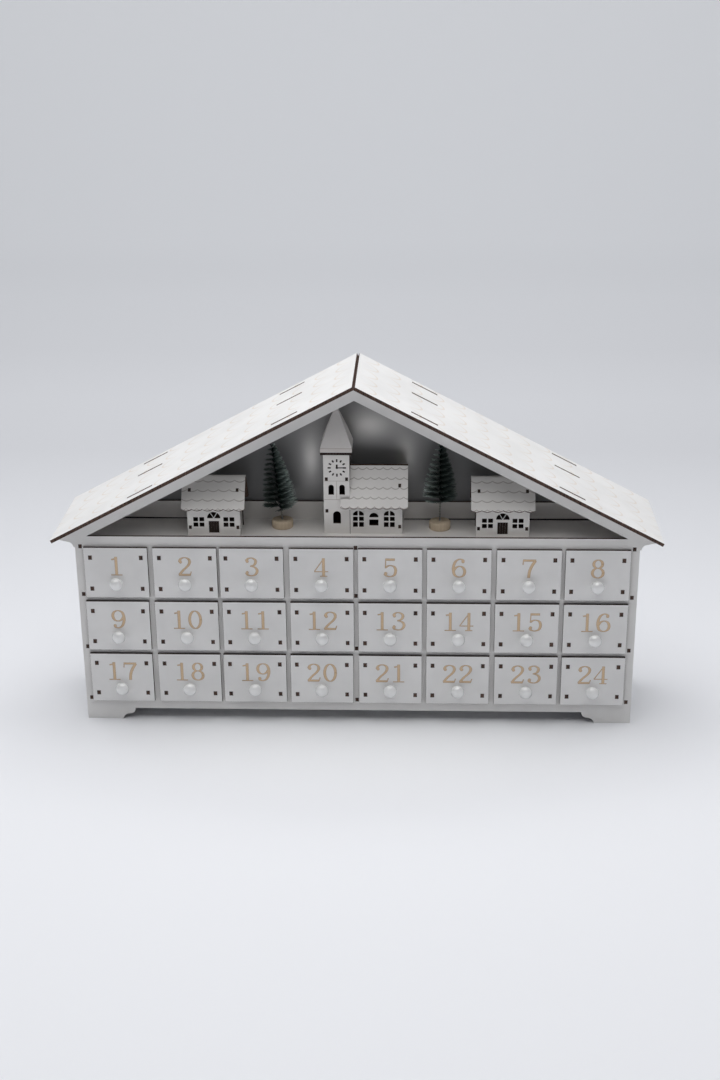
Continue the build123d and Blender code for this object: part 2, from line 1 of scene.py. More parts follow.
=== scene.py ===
# %% [markdown]
# # An advent calendar house
# The object is a small house of thin laser-cut boards: 24 numbered drawers under a gable roof, and on
# the stage in the gable a church, two cottages and two bottle-brush trees before a dark mirror.
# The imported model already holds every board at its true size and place, so this lesson keeps those
# boards and gives them their paint and burnt edges. It models afresh what a board can't show: the
# drawers with their engraved numbers and turned knobs, the clock, the doors and the trees.

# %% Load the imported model
import math
import random
import bpy
from mathutils import Matrix, Vector
from mathutils.geometry import delaunay_2d_cdt


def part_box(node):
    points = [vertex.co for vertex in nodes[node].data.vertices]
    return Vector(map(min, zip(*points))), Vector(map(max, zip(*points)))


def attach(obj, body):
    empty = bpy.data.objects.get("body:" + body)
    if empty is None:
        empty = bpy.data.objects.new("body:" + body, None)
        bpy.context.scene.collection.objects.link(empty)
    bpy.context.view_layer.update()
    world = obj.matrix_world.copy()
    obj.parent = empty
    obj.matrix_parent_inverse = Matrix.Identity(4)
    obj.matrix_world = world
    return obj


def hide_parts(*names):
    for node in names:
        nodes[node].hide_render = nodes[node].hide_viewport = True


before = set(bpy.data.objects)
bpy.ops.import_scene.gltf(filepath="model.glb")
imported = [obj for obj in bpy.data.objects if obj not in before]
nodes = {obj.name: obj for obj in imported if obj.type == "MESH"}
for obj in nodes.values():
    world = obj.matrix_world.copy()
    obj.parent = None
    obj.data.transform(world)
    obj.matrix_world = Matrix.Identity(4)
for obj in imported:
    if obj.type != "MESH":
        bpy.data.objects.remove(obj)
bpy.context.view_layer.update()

mm = 0.001
bpy.ops.object.select_all(action="DESELECT")

# %% [markdown]
# ## The camera
# The photograph was taken from a little above, with a normal lens. The angles and the distance were
# worked out from the drawer grid, whose spacing is the same on all three rows, so the camera here is
# turned in three plain steps: tilted down, turned a little to the left, and rolled by half a degree.

# %% Camera
look_down = math.radians(21.72)
look_left = math.radians(2.37)
roll = math.radians(-0.56)
camera_spot = Vector((0.0491, -1.1416, 0.5910))
bpy.ops.object.camera_add()
camera = bpy.context.active_object
turn = Matrix.Rotation(look_left, 4, "Z") @ Matrix.Rotation(math.pi / 2 - look_down, 4, "X")
camera.matrix_world = Matrix.Translation(camera_spot) @ turn @ Matrix.Rotation(roll, 4, "Z")
camera.data.sensor_width = 36.0
camera.data.lens = 53.54
bpy.context.scene.camera = camera
bpy.context.scene.view_settings.view_transform = "Standard"
print("camera at", tuple(round(v, 3) for v in camera_spot), "lens", camera.data.lens)

# %% [markdown]
# ## Helpers for shader nodes
# A material is a small graph of nodes. One helper fills the inputs of a node, and one places a node.
# The others give short names to the steps that come up again and again. A node group is a piece of
# graph that several materials share.


# %% Node helpers
def fill(node, inputs):
    """Set the inputs of a node, or link them where another node gives the value."""
    for key, value in inputs.items():
        if isinstance(value, bpy.types.NodeSocket):
            node.id_data.links.new(value, node.inputs[key])
        else:
            node.inputs[key].default_value = value


def put(tree, kind, inputs=None, **options):
    """Place a node in a tree, set its options and fill its inputs."""
    node = tree.nodes.new("ShaderNode" + kind)
    for name, value in options.items():
        setattr(node, name, value)
    fill(node, inputs or {})
    return node


def calc(tree, operation, first, second=0.0, third=0.0):
    """One step of arithmetic."""
    return put(tree, "Math", {0: first, 1: second, 2: third}, operation=operation).outputs[0]


def vector_step(tree, operation, first, second=(0, 0, 0)):
    """One step with vectors; a distance or a dot product comes out as a number."""
    node = put(tree, "VectorMath", {0: first, 1: second}, operation=operation)
    return node.outputs["Value" if operation in ("DISTANCE", "DOT_PRODUCT") else "Vector"]


def split(tree, vector):
    """The three parts of a vector."""
    return put(tree, "SeparateXYZ", {0: vector}).outputs


def remap(tree, value, before, after=(0.0, 1.0), curve="LINEAR"):
    """Stretch a value from one range to another, and stop it at the ends."""
    inputs = dict(enumerate((value, *before, *after)))
    return put(tree, "MapRange", inputs, interpolation_type=curve).outputs[0]


def noise(tree, place, scale, detail=2.0):
    """A cloudy pattern."""
    return put(tree, "TexNoise", {"Vector": place, "Scale": scale, "Detail": detail}).outputs["Fac"]


def mix_colour(tree, share, first, second):
    """A colour between two others."""
    return put(tree, "Mix", {0: share, 6: first, 7: second}, data_type="RGBA").outputs[2]


def place_on(tree):
    """The place on the object."""
    return put(tree, "TexCoord").outputs["Object"]


def facing_of(tree):
    """The true direction in which the surface looks."""
    return put(tree, "NewGeometry").outputs["True Normal"]


def open_group(name, inputs, outputs):
    """Start a shader node group with named sockets, and give back its tree and both ends."""
    tree = bpy.data.node_groups.new(name, "ShaderNodeTree")
    for label, kind in inputs.items():
        tree.interface.new_socket(label, in_out="INPUT", socket_type="NodeSocket" + kind)
    for label, kind in outputs.items():
        tree.interface.new_socket(label, in_out="OUTPUT", socket_type="NodeSocket" + kind)
    return tree, tree.nodes.new("NodeGroupInput").outputs, tree.nodes.new("NodeGroupOutput")


def use_group(tree, group, inputs):
    """Place a node group in a tree."""
    return put(tree, "Group", inputs, node_tree=group).outputs


def open_material(name):
    """Start a material with its nodes, and give back the material, its tree and its shader."""
    material = bpy.data.materials.new(name)
    material.use_nodes = True
    tree = material.node_tree
    return material, tree, tree.nodes["Principled BSDF"]


print("helpers ready")

# %% [markdown]
# ## The studio
# The house stands on a pale sheet that curves up behind it, as in a product photograph. The sheet is
# one plane whose far edge is pulled up into a wall, and the corner is rounded by a wide bevel.

# %% Floor and backdrop
floor_half = 6.0
wall_height = 4.0
wall_distance = 3.2
bpy.ops.mesh.primitive_plane_add(size=2 * floor_half, location=(0, 0, 0))
floor = bpy.context.active_object
floor.name = "studio_floor"
for part in [*floor.data.vertices, *floor.data.edges, *floor.data.polygons]:
    part.select = False
for edge in floor.data.edges:
    edge.select = all(floor.data.vertices[v].co.y > 0 for v in edge.vertices)
bpy.ops.object.mode_set(mode="EDIT")
bpy.ops.mesh.select_mode(type="EDGE")
bpy.ops.mesh.extrude_region_move(TRANSFORM_OT_translate={"value": (0, 0, wall_height)})
bpy.ops.object.mode_set(mode="OBJECT")
for vertex in floor.data.vertices:
    if vertex.co.y > 0:
        vertex.co.y = wall_distance
round_corner = floor.modifiers.new("round corner", "BEVEL")
round_corner.width = wall_distance / 2
round_corner.segments = 24
bpy.ops.object.modifier_apply(modifier=round_corner.name)
bpy.ops.object.shade_smooth()
print("floor faces:", len(floor.data.polygons))

# %% [markdown]
# The paper's colour darkens a little towards the back, a painted shade for the lamps' falloff, and it is
# palest in an oval before the house, a painted light that lifts the shadow there. Far behind the
# house the lamps hardly reach it, so there it glows a little, for the camera alone.

# %% Paper
paper, tree, shader = open_material("studio_paper")
spot = place_on(tree)
depth = split(tree, spot)["Y"]
# Painted shade: the colour darkens towards the back, where the lamps reach less.
far = remap(tree, depth, (-0.3, 0.75), curve="SMOOTHSTEP")
shade = calc(tree, "ADD", far, calc(tree, "MULTIPLY", noise(tree, spot, 1.3), 0.04))
colour = mix_colour(tree, shade, (0.79, 0.80, 0.83, 1), (0.635, 0.645, 0.675, 1))
# Painted light: an oval of paler colour before the house lifts the shadow that falls there.
oval_spot = vector_step(tree, "MULTIPLY", spot, (0.5, 1, 1))
aside = vector_step(tree, "DISTANCE", oval_spot, (0, -0.04, 0))
painted_light_oval = remap(tree, aside, (0.03, 0.14), (1.0, 0.0), "SMOOTHSTEP")
glow = put(tree, "ValToRGB", {0: remap(tree, depth, (0.62, 3.0))})
ramp = glow.color_ramp.elements
ramp[0].color = (0, 0, 0, 1)
ramp[1].color = (0.385, 0.395, 0.41, 1)
for share, level in ((0.085, 0.055), (0.19, 0.09), (0.32, 0.172), (0.49, 0.252), (0.70, 0.312)):
    ramp.new(share).color = (0.975 * level, level, 1.04 * level, 1)
fill(shader, {
    "Base Color": mix_colour(tree, painted_light_oval, colour, (0.92, 0.93, 0.95, 1)),
    "Roughness": 0.9,
    "Specular IOR Level": 0.2,
    "Emission Color": glow.outputs["Color"],
    "Emission Strength": put(tree, "LightPath").outputs["Is Camera Ray"],
})
floor.data.materials.append(paper)
print("paper ready, steps in its glow:", len(ramp))

# %% [markdown]
# The light comes mostly from two wide soft lamps, overhead and a little behind, so the roof is the
# brightest part. A weaker soft lamp before the house reaches under the roof, and a dim world fills
# what is left of the shade. Only the camera sees that world as pale as the paper.


# %% Lights
def soft_lamp(name, spot, target, width, depth, power):
    """A wide soft lamp that looks at a target."""
    bpy.ops.object.light_add(type="AREA", location=spot)
    lamp = bpy.context.active_object
    lamp.name = name
    lamp.rotation_euler = (Vector(target) - Vector(spot)).to_track_quat("-Z", "Y").to_euler()
    lamp.data.shape = "RECTANGLE"
    lamp.data.size = width
    lamp.data.size_y = depth
    lamp.data.energy = power


soft_lamp("over_lamp", (-0.1, -0.25, 1.75), (0, -0.05, 0), 2.0, 1.5, 14.6)
soft_lamp("behind_lamp", (0, 0.45, 1.75), (0, 0.15, 0), 2.4, 1.2, 20.6)
soft_lamp("front_lamp", (-0.3, -0.95, 1.9), (0, -0.05, 0.05), 2.0, 1.0, 5.6)
world = bpy.context.scene.world or bpy.data.worlds.new("studio")
bpy.context.scene.world = world
world.use_nodes = True
seen = put(world.node_tree, "LightPath").outputs["Is Camera Ray"]
level = remap(world.node_tree, seen, (0, 1), (0.185, 0.62))
fill(world.node_tree.nodes["Background"], {"Color": (0.93, 0.95, 1.0, 1), "Strength": level})
print("lamps set")

# %% [markdown]
# ## Painted boards with burnt edges
# A laser cuts these boards out of a sheet that is already white on both faces, so every cut edge is
# burnt dark brown and every face is white. The edge is found by the direction in which a surface
# looks: each board has one facing, and whatever doesn't look along it was cut. The first group turns
# that rule into a mask, so one finish paints a board, its slots and the ends of its tabs at once.

# %% Group: laser cut
g, given, out = open_group("laser cut", {"Normal": "Vector", "Facing": "Vector"}, {"Burnt": "Float"})
match = vector_step(g, "DOT_PRODUCT", vector_step(g, "ABSOLUTE", given["Normal"]), given["Facing"])
fill(out, {"Burnt": calc(g, "LESS_THAN", match, 0.93)})
cut_group = g
print("group:", g.name)

# %% [markdown]
# The second group gives the look of both kinds of surface: thin white paint with faint clouds, and
# charred fibre with brown and nearly black streaks. A shade tint dims or warms the paint as painted
# shade, where a board lies in shade, and a scorch makes the char blacker, partly as painted shade in
# dark gaps. It puts out colour, roughness and a height.

# %% Group: painted board
char_black = (0.006, 0.004, 0.003, 1)
g, given, out = open_group(
    "painted board",
    {"Position": "Vector", "Burnt": "Float", "Tint": "Color", "Scorch and Shade": "Float"},
    {"Color": "Color", "Roughness": "Float", "Height": "Float"},
)
place = given["Position"]
cloud = remap(g, noise(g, place, 38.0, 3.0), (0.35, 0.65))
white_paint = mix_colour(g, cloud, (0.79, 0.785, 0.78, 1), (0.845, 0.84, 0.835, 1))
white_paint = vector_step(g, "MULTIPLY", white_paint, given["Tint"])
fibre = noise(g, vector_step(g, "MULTIPLY", place, (900.0, 900.0, 260.0)), 1.0, 3.0)
streaks = remap(g, fibre, (0.35, 0.7))
char = mix_colour(g, streaks, (0.036, 0.020, 0.016, 1), (0.122, 0.068, 0.049, 1))
char = mix_colour(g, given["Scorch and Shade"], char, char_black)
speck = noise(g, place, 900.0)
paint_gloss = remap(g, speck, (0.3, 0.7), (0.42, 0.55))
paint_height = calc(g, "MULTIPLY", speck, 0.25)
fill(out, {
    "Color": mix_colour(g, given["Burnt"], white_paint, char),
    "Roughness": put(g, "Mix", {0: given["Burnt"], 2: paint_gloss, 3: 0.88}).outputs[0],
    "Height": put(g, "Mix", {0: given["Burnt"], 2: paint_height, 3: fibre}).outputs[0],
})
paint_group = g
print("group:", g.name)

# %% [markdown]
# The third group draws fish-scale shingles as thin engraved lines. It needs two lengths, one down the
# slope and one along the eave. Every second row is shifted by half a scale. The line of a scale hangs
# lowest in its middle and rises by the dip to both sides, where it also grows fainter. Its width is
# kept true where it is steep.

# %% Group: fish scales
g, given, out = open_group(
    "fish scales",
    dict.fromkeys(("Down", "Along", "Row", "Width", "Dip", "Line"), "Float"),
    {"Mask": "Float"},
)
rows_down = calc(g, "DIVIDE", given["Down"], given["Row"])
shift = calc(g, "MULTIPLY", calc(g, "MODULO", calc(g, "FLOOR", rows_down), 2.0), 0.5)
scales = calc(g, "ADD", calc(g, "DIVIDE", given["Along"], given["Width"]), shift)
sideways = calc(g, "MULTIPLY_ADD", calc(g, "FRACT", scales), 2.0, -1.0)
rise = calc(g, "MULTIPLY", given["Dip"], calc(g, "POWER", calc(g, "ABSOLUTE", sideways), 2.0))
level = calc(g, "ADD", calc(g, "SUBTRACT", calc(g, "FRACT", rows_down), 0.94), rise)
shape = calc(g, "DIVIDE", calc(g, "MULTIPLY", given["Dip"], given["Row"]), given["Width"])
steep = calc(g, "MULTIPLY", calc(g, "MULTIPLY", shape, sideways), 4.0)
slant = calc(g, "SQRT", calc(g, "MULTIPLY_ADD", steep, steep, 1.0))
off = calc(g, "DIVIDE", calc(g, "MULTIPLY", calc(g, "ABSOLUTE", level), given["Row"]), slant)
core = calc(g, "MULTIPLY", given["Line"], 0.35)
edge = calc(g, "MULTIPLY", given["Line"], 0.70)
mask = remap(g, off, (core, edge), (1.0, 0.0))
fade = calc(g, "SUBTRACT", 1.0, calc(g, "MULTIPLY", rise, 1.5))
fill(out, {"Mask": calc(g, "MULTIPLY", mask, calc(g, "MAXIMUM", fade, 0.12))})
scale_group = g
print("group:", g.name)

# %% [markdown]
# The fourth group is for small things such as knobs, wires and engraved lines. It lays one colour and
# its neighbour beside each other in fine grains, because no real surface has a single flat colour.

# %% Group: mottled
g, given, out = open_group(
    "mottled",
    {"Position": "Vector", "Scale": "Float", "First": "Color", "Second": "Color"},
    {"Color": "Color", "Grain": "Float"},
)
grain = noise(g, given["Position"], given["Scale"])
fill(out, {"Color": mix_colour(g, grain, given["First"], given["Second"]), "Grain": grain})
mottled_group = g


def mottled(name, scale, first, second, roughness=0.5):
    """A finish in two close colours; gives back the material, its tree, its shader and the grains."""
    material, tree, shader = open_material(name)
    look = {"Position": place_on(tree), "Scale": scale, "First": first, "Second": second}
    grains = use_group(tree, mottled_group, look)
    fill(shader, {"Base Color": grains["Color"], "Roughness": roughness})
    return material, tree, shader, grains


print("group:", g.name)

# %% [markdown]
# ## Finishes for the boards
# One function joins the first two groups into a finish. It takes the facing of the board, and it
# leaves the shader and the bump in the material itself. The front plate is a little dimmer than the
# drawers, and all on the stage is dimmer and warmer: both are painted shade. The rims of the drawer
# fronts are burnt the blackest, partly char and partly painted shade for the dark gaps between the rows.


# %% Board finish
white = (1, 1, 1, 1)
# Painted shade: the stage lies in shade under the roof, so its paint is dimmed and warmed.
stage_shade_tint = (0.96, 0.935, 0.905, 1)
to_side = (1, 0, 0)
to_viewer = (0, 1, 0)
upward = (0, 0, 1)


def cut_edges(tree, facing):
    """The mask of what was cut on a board that faces one way."""
    return use_group(tree, cut_group, {"Normal": facing_of(tree), "Facing": facing})["Burnt"]


def finish_board(tree, shader, burnt, shade_tint=white, scorch_and_shade=0.0):
    """Lay the painted-board group on a shader, and give back its colour."""
    look = {"Position": place_on(tree), "Burnt": burnt, "Tint": shade_tint, "Scorch and Shade": scorch_and_shade}
    painted = use_group(tree, paint_group, look)
    bump = put(tree, "Bump", {"Height": painted["Height"], "Strength": 0.25, "Distance": 0.0002})
    fill(shader, {
        "Base Color": painted["Color"],
        "Roughness": painted["Roughness"],
        "Normal": bump.outputs["Normal"],
    })
    return painted["Color"]


def board(name, facing, shade_tint=white, scorch_and_shade=0.0):
    """A white board with burnt edges that faces one way."""
    material, tree, shader = open_material(name)
    finish_board(tree, shader, cut_edges(tree, facing), shade_tint, scorch_and_shade)
    return material


def dress(material, *names):
    """Give a finish to CAD nodes."""
    for name in names:
        for slot in nodes[name].material_slots:
            slot.material = material


facing_viewer = board("board_facing_viewer", to_viewer)
facing_side = board("board_facing_side", to_side)
facing_up = board("board_facing_up", upward)
# Painted shade: the drawer rims are blackened further for the dark gaps between the rows.
drawer_face = board("drawer_face", to_viewer, (0.965, 0.96, 0.955, 1), 0.55)
dress(facing_viewer, "back_panel", "stage_backboard")
# Painted shade: the front plate is dimmed a little more than the drawers.
dress(board("front_plate", to_viewer, (0.93, 0.92, 0.905, 1)), "front_frame")
dress(board("stage_strip", to_viewer, stage_shade_tint), "stage_ledge")
dress(facing_side, "left_side_panel", "right_side_panel", "centre_divider", "column_dividers")
dress(facing_up, "bottom_board", "lower_shelf", "upper_shelf")
print("plain boards dressed")

# %% [markdown]
# The roofs are boards too, but their faces carry the shingle lines. The length down the slope comes
# from the height and the distance from the ridge, so one finish serves both slopes of a roof. The
# small roofs, whose slopes run along Y, are painted dark underneath as painted shade, and their paint
# is dimmed as painted shade, the cottage roofs under the main roof most.


# %% Roof finishes
def roof(name, shade_tint, ridge, run, angle, first, scale, line):
    """A white shingled board on both slopes of a roof; run is 0 for slopes along X and 1 along Y."""
    row, width, dip = scale
    line_width, line_colour, strength = line
    material, tree, shader = open_material(name)
    facing = [0.0, 0.0, math.cos(angle)]
    facing[run] = math.sin(angle)
    burnt = cut_edges(tree, facing)
    if run == 1:
        # Painted shade: the undersides of the small roofs are darkened like a burnt edge.
        painted_shade_under = calc(tree, "LESS_THAN", split(tree, facing_of(tree))["Z"], -0.1)
        burnt = calc(tree, "MAXIMUM", burnt, painted_shade_under)
    parts = split(tree, place_on(tree))
    away = calc(tree, "ABSOLUTE", calc(tree, "SUBTRACT", parts[run], ridge[run]))
    fall = calc(tree, "SUBTRACT", ridge[2], parts[2])
    down = calc(tree, "MULTIPLY_ADD", away, math.cos(angle), row * (1 - first))
    down = calc(tree, "MULTIPLY_ADD", fall, math.sin(angle), down)
    along = calc(tree, "SUBTRACT", parts[1 - run], ridge[1 - run])
    sizes = {"Down": down, "Along": along, "Row": row, "Width": width, "Dip": dip, "Line": line_width}
    lines = use_group(tree, scale_group, sizes)["Mask"]
    share = calc(tree, "MULTIPLY", lines, calc(tree, "SUBTRACT", 1.0, burnt))
    share = calc(tree, "MULTIPLY", share, strength)
    own = finish_board(tree, shader, burnt, shade_tint)
    fill(shader, {"Base Color": mix_colour(tree, share, own, line_colour)})
    return material


roof_low, roof_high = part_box("right_roof_panel")
ridge_spot = (0.0, roof_low.y, roof_high.z)
tan_line = (1.4 * mm, (0.66, 0.53, 0.40, 1), 0.4)
big_scale = (18.6 * mm, 19.5 * mm, 0.6)
main_roof = roof("main_roof", white, ridge_spot, 0, math.radians(27.7), 1.0, big_scale, tan_line)
dress(main_roof, "left_roof_panel", "right_roof_panel")
grey_line = (0.6 * mm, (0.27, 0.23, 0.20, 1), 0.75)
# Painted shade: the cottage roofs lie in the shade of the main roof and are dimmed.
under_roof_shade_tint = (0.85, 0.83, 0.80, 1)
for name, shade_tint, angle, rows, scallops, lap in (
    ("left_cottage_roof", under_roof_shade_tint, 55.0, 3.8, 6, 0.0),
    ("right_cottage_roof", under_roof_shade_tint, 55.0, 3.8, 6, 0.0),
    ("church_nave_roof", stage_shade_tint, 59.0, 4.6, 7, 6.9 * mm),
):
    low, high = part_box(name)
    tilt = math.radians(angle)
    slope = (high.z - low.z) / math.sin(tilt)
    ridge = (low.x + lap, (low.y + high.y) / 2, high.z)
    width = (high.x - low.x - lap) / scallops
    first_row = rows - math.floor(rows)
    small_scale = (slope / rows, width, 0.2)
    dress(roof(name, shade_tint, ridge, 1, tilt, first_row, small_scale, grey_line), name)
    print(name, "row", round(slope / rows / mm, 2), "scale", round(width / mm, 2))

# %% [markdown]
# The insides of the small houses are painted dark as painted shade, so their windows look into a dark
# box. Their walls face two ways in one node: end walls that face sideways and a back wall that faces
# the viewer. A surface that looks forward is white only behind the middle of the house, so the tab ends
# that show in the front wall stay burnt, and whatever looks towards the middle of the house is inside
# and painted dark.

# %% House wall finishes
# The char of the houses is blackened, partly char and partly painted shade for the insides.
house_scorch_and_shade = 0.5


def house_front(name):
    """The finish of a front wall, white on its outer face and painted dark inside as painted shade."""
    material, tree, shader = open_material(name)
    # Painted shade: faces that look into the house are darkened like a burnt edge.
    inside = calc(tree, "GREATER_THAN", split(tree, facing_of(tree))["Y"], 0.5)
    burnt = calc(tree, "MAXIMUM", cut_edges(tree, to_viewer), inside)
    finish_board(tree, shader, burnt, stage_shade_tint, house_scorch_and_shade)
    dress(material, name)


def house_walls(name):
    """The finish of the end walls and the back wall of one small house."""
    material, tree, shader = open_material(name)
    place = place_on(tree)
    low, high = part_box(name)
    middle = (low + high) / 2
    in_front = calc(tree, "LESS_THAN", split(tree, place)["Y"], middle.y)
    not_back = calc(tree, "MAXIMUM", cut_edges(tree, to_viewer), in_front)
    burnt = calc(tree, "MULTIPLY", cut_edges(tree, to_side), not_back)
    from_middle = vector_step(tree, "SUBTRACT", place, middle)
    # Painted shade: whatever looks towards the middle of the house is darkened like a burnt edge.
    outward = vector_step(tree, "DOT_PRODUCT", facing_of(tree), from_middle)
    burnt = calc(tree, "MAXIMUM", burnt, calc(tree, "LESS_THAN", outward, 0.0))
    finish_board(tree, shader, burnt, stage_shade_tint, house_scorch_and_shade)
    dress(material, name)


houses = ("church_tower", "church_nave", "left_cottage", "right_cottage")
for house in houses:
    house_front(house + "_front")
    house_walls(house + "_walls")
print("house walls dressed:", 2 * len(houses))

# %% [markdown]
# The stage floor is painted dark where a house stands on it, a painted shade that keeps the insides
# dark. The spire stands on a thin plate with burnt edges, and the upright fascia at its foot is darker
# and browner, with a brown line along its top.

# %% Stage floor and spire
stage, tree, shader = open_material("stage_floor")
burnt = cut_edges(tree, upward)
across, deep, level = split(tree, place_on(tree))
for house in houses:
    low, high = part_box(house + "_walls")
    middle = (low + high) / 2
    half = (high - low) / 2
    # Painted shade: the floor inside each house's footprint is darkened like a burnt edge.
    in_width = calc(tree, "COMPARE", across, middle.x, half.x - mm)
    in_depth = calc(tree, "COMPARE", deep, middle.y, half.y - mm)
    burnt = calc(tree, "MAXIMUM", burnt, calc(tree, "MULTIPLY", in_width, in_depth))
finish_board(tree, shader, burnt, stage_shade_tint)
dress(stage, "stage_floor")

spire, tree, shader = open_material("church_spire")
plate_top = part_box("church_tower_front")[1].z + 2.0 * mm
fascia_top = plate_top + 3.1 * mm
height = split(tree, place_on(tree))["Z"]
burnt = calc(tree, "MULTIPLY", cut_edges(tree, upward), calc(tree, "LESS_THAN", height, plate_top))
# The fascia and the line along its top are made darker and browner.
fascia = calc(tree, "COMPARE", height, (plate_top + fascia_top) / 2, 1.5 * mm)
rim = calc(tree, "COMPARE", height, fascia_top, 0.25 * mm)
darkening = calc(tree, "MULTIPLY_ADD", rim, 0.45, calc(tree, "MULTIPLY", fascia, 0.22))
darkening = calc(tree, "MULTIPLY_ADD", burnt, 0.7, darkening)
# Painted shade: the spire's paint is dimmed and warmed.
own = finish_board(tree, shader, burnt, (0.89, 0.86, 0.84, 1))
dark_brown = mix_colour(tree, burnt, (0.30, 0.24, 0.19, 1), char_black)
fill(shader, {"Base Color": mix_colour(tree, darkening, own, dark_brown)})
dress(spire, "church_spire")
print("stage floor and spire dressed")

# %% [markdown]
# ## The mirror
# The sheet behind the village is a thin, dim mirror film. Most of it is dull and shows a dark grey,
# and near the middle a few soft streaks are painted brighter and more mirror-like: painted reflections.
# A slow waviness spreads the reflections.


# %% Mirror finish
def streak(tree, across, level, x, z, half_width, half_height):
    """A soft bright place on the film, a painted reflection."""
    sideways = calc(tree, "DIVIDE", calc(tree, "SUBTRACT", across, x * mm), half_width * mm)
    up = calc(tree, "DIVIDE", calc(tree, "SUBTRACT", level, z * mm), half_height * mm)
    square = calc(tree, "MULTIPLY_ADD", sideways, sideways, calc(tree, "MULTIPLY", up, up))
    return calc(tree, "DIVIDE", 1.0, calc(tree, "POWER", calc(tree, "ADD", square, 1.0), 2.0))


mirror, tree, shader = open_material("dim_mirror")
place = place_on(tree)
across, deep, level = split(tree, place)
share = 0.0
# Painted reflections: three soft places where the film is made brighter and more metallic.
for reflection_place in ((-35, 199, 10, 25), (8, 225, 27, 17), (37, 201, 9, 17)):
    share = calc(tree, "ADD", streak(tree, across, level, *reflection_place), share)
cloud = noise(tree, place, 16.0)
share = calc(tree, "MULTIPLY", share, remap(tree, cloud, (0, 1), (0.75, 1.15)))
share = calc(tree, "MINIMUM", share, 1.0)
wave = put(tree, "Bump", {"Height": noise(tree, place, 30.0, 1.0), "Strength": 0.3, "Distance": 0.001})
fill(shader, {
    "Base Color": mix_colour(tree, share, (0.19, 0.19, 0.19, 1), (0.50, 0.485, 0.465, 1)),
    "Metallic": remap(tree, share, (0, 1), (0.12, 1.0)),
    "Roughness": remap(tree, cloud, (0.3, 0.7), (0.32, 0.42)),
    "Specular IOR Level": 0.3,
    "Normal": wave.outputs["Normal"],
})
dress(mirror, "mirror_sheet")
print("mirror dressed")

# %% [markdown]
# ## Helpers for modelling
# The new pieces start as primitives at their size and place. A few helpers do what a maker does again
# and again: saw a block, cut one piece with another, join pieces, break an edge, lay on a finish.


# %% Modelling helpers
def only(piece):
    """Select one piece and make it the active one."""
    bpy.ops.object.select_all(action="DESELECT")
    piece.select_set(True)
    bpy.context.view_layer.objects.active = piece


def settle(piece):
    """Move a piece's place, turn and size into its mesh."""
    only(piece)
    bpy.ops.object.transform_apply(location=True, rotation=True, scale=True)
    return piece


def block(name, low, high):
    """A sawn block between two corners."""
    low = Vector(low)
    high = Vector(high)
    bpy.ops.mesh.primitive_cube_add(size=1, location=(low + high) / 2)
    piece = bpy.context.active_object
    piece.name = name
    piece.scale = high - low
    return settle(piece)


def modify(piece, kind, **settings):
    """Put a modifier on a piece and apply it."""
    step = piece.modifiers.new(kind, kind)
    for name, value in settings.items():
        setattr(step, name, value)
    only(piece)
    bpy.ops.object.modifier_apply(modifier=step.name)


def combine(piece, tool, how):
    """Cut a piece with a tool, or join the tool to it, and put the tool away."""
    transfer = {"solver": "EXACT", "use_self": True, "material_mode": "TRANSFER"}
    modify(piece, "BOOLEAN", operation=how, object=tool, **transfer)
    bpy.data.objects.remove(tool)


def break_edges(piece, width, segments=1):
    """Take the sharpness off the edges of a piece."""
    sharp = math.radians(40)
    modify(piece, "BEVEL", width=width, segments=segments, limit_method="ANGLE", angle_limit=sharp)


def join(name, pieces):
    """Make several pieces one object."""
    only(pieces[0])
    for piece in pieces[1:]:
        piece.select_set(True)
    if len(pieces) > 1:
        bpy.ops.object.join()
    joined = bpy.context.active_object
    joined.name = name
    return joined


def copy_of(piece, name, spot=(0, 0, 0)):
    """A copy of a piece with its own mesh, set down at a spot."""
    twin = piece.copy()
    twin.data = piece.data.copy()
    twin.name = name
    bpy.context.collection.objects.link(twin)
    twin.location = Vector(spot)
    return settle(twin)


def new_piece(name, corners, faces):
    """A piece from a list of corners and faces."""
    mesh = bpy.data.meshes.new(name)
    mesh.from_pydata(corners, [], faces)
    piece = bpy.data.objects.new(name, mesh)
    bpy.context.collection.objects.link(piece)
    return piece


def coat(piece, material):
    """Give a new piece its finish."""
    piece.data.materials.clear()
    piece.data.materials.append(material)


print("modelling helpers ready")

# %% [markdown]
# ## One drawer
# A drawer is a shallow box of the same boards. Its front overlaps the window in the front plate, and
# the tabs of the two side walls pass through the front and show there as four dark squares. All 24 are
# alike, so a blank front and a box are made once, around the middle of the front's face.

# %% Drawer sizes from the frame
drawer_low, drawer_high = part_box("drawer_01")
thick = 2.5 * mm
knob_reach = 8.0 * mm
front_half = (drawer_high.x - drawer_low.x) / 2
front_rise = (drawer_high.z - drawer_low.z) / 2
box_end = drawer_high.y - drawer_low.y - knob_reach
box_half = 40.75 / 2 * mm
box_height = 34.0 * mm
box_floor = 2.8 * mm - front_rise
box_top = box_floor + box_height
tab_rise = 3.0 * mm
tab_play = 0.1 * mm
tab_from_middle = 12.6 * mm
tab_levels = [(box_floor + box_top) / 2 + side * tab_from_middle for side in (-1, 1)]
print("drawer front", round(2 * front_half / mm, 2), "x", round(2 * front_rise / mm, 2))

# %% [markdown]
# The blank front is a block with four slots cut through it. A tiny broken edge catches the light, and
# because it no longer faces the viewer, the finish burns it, as the laser does.

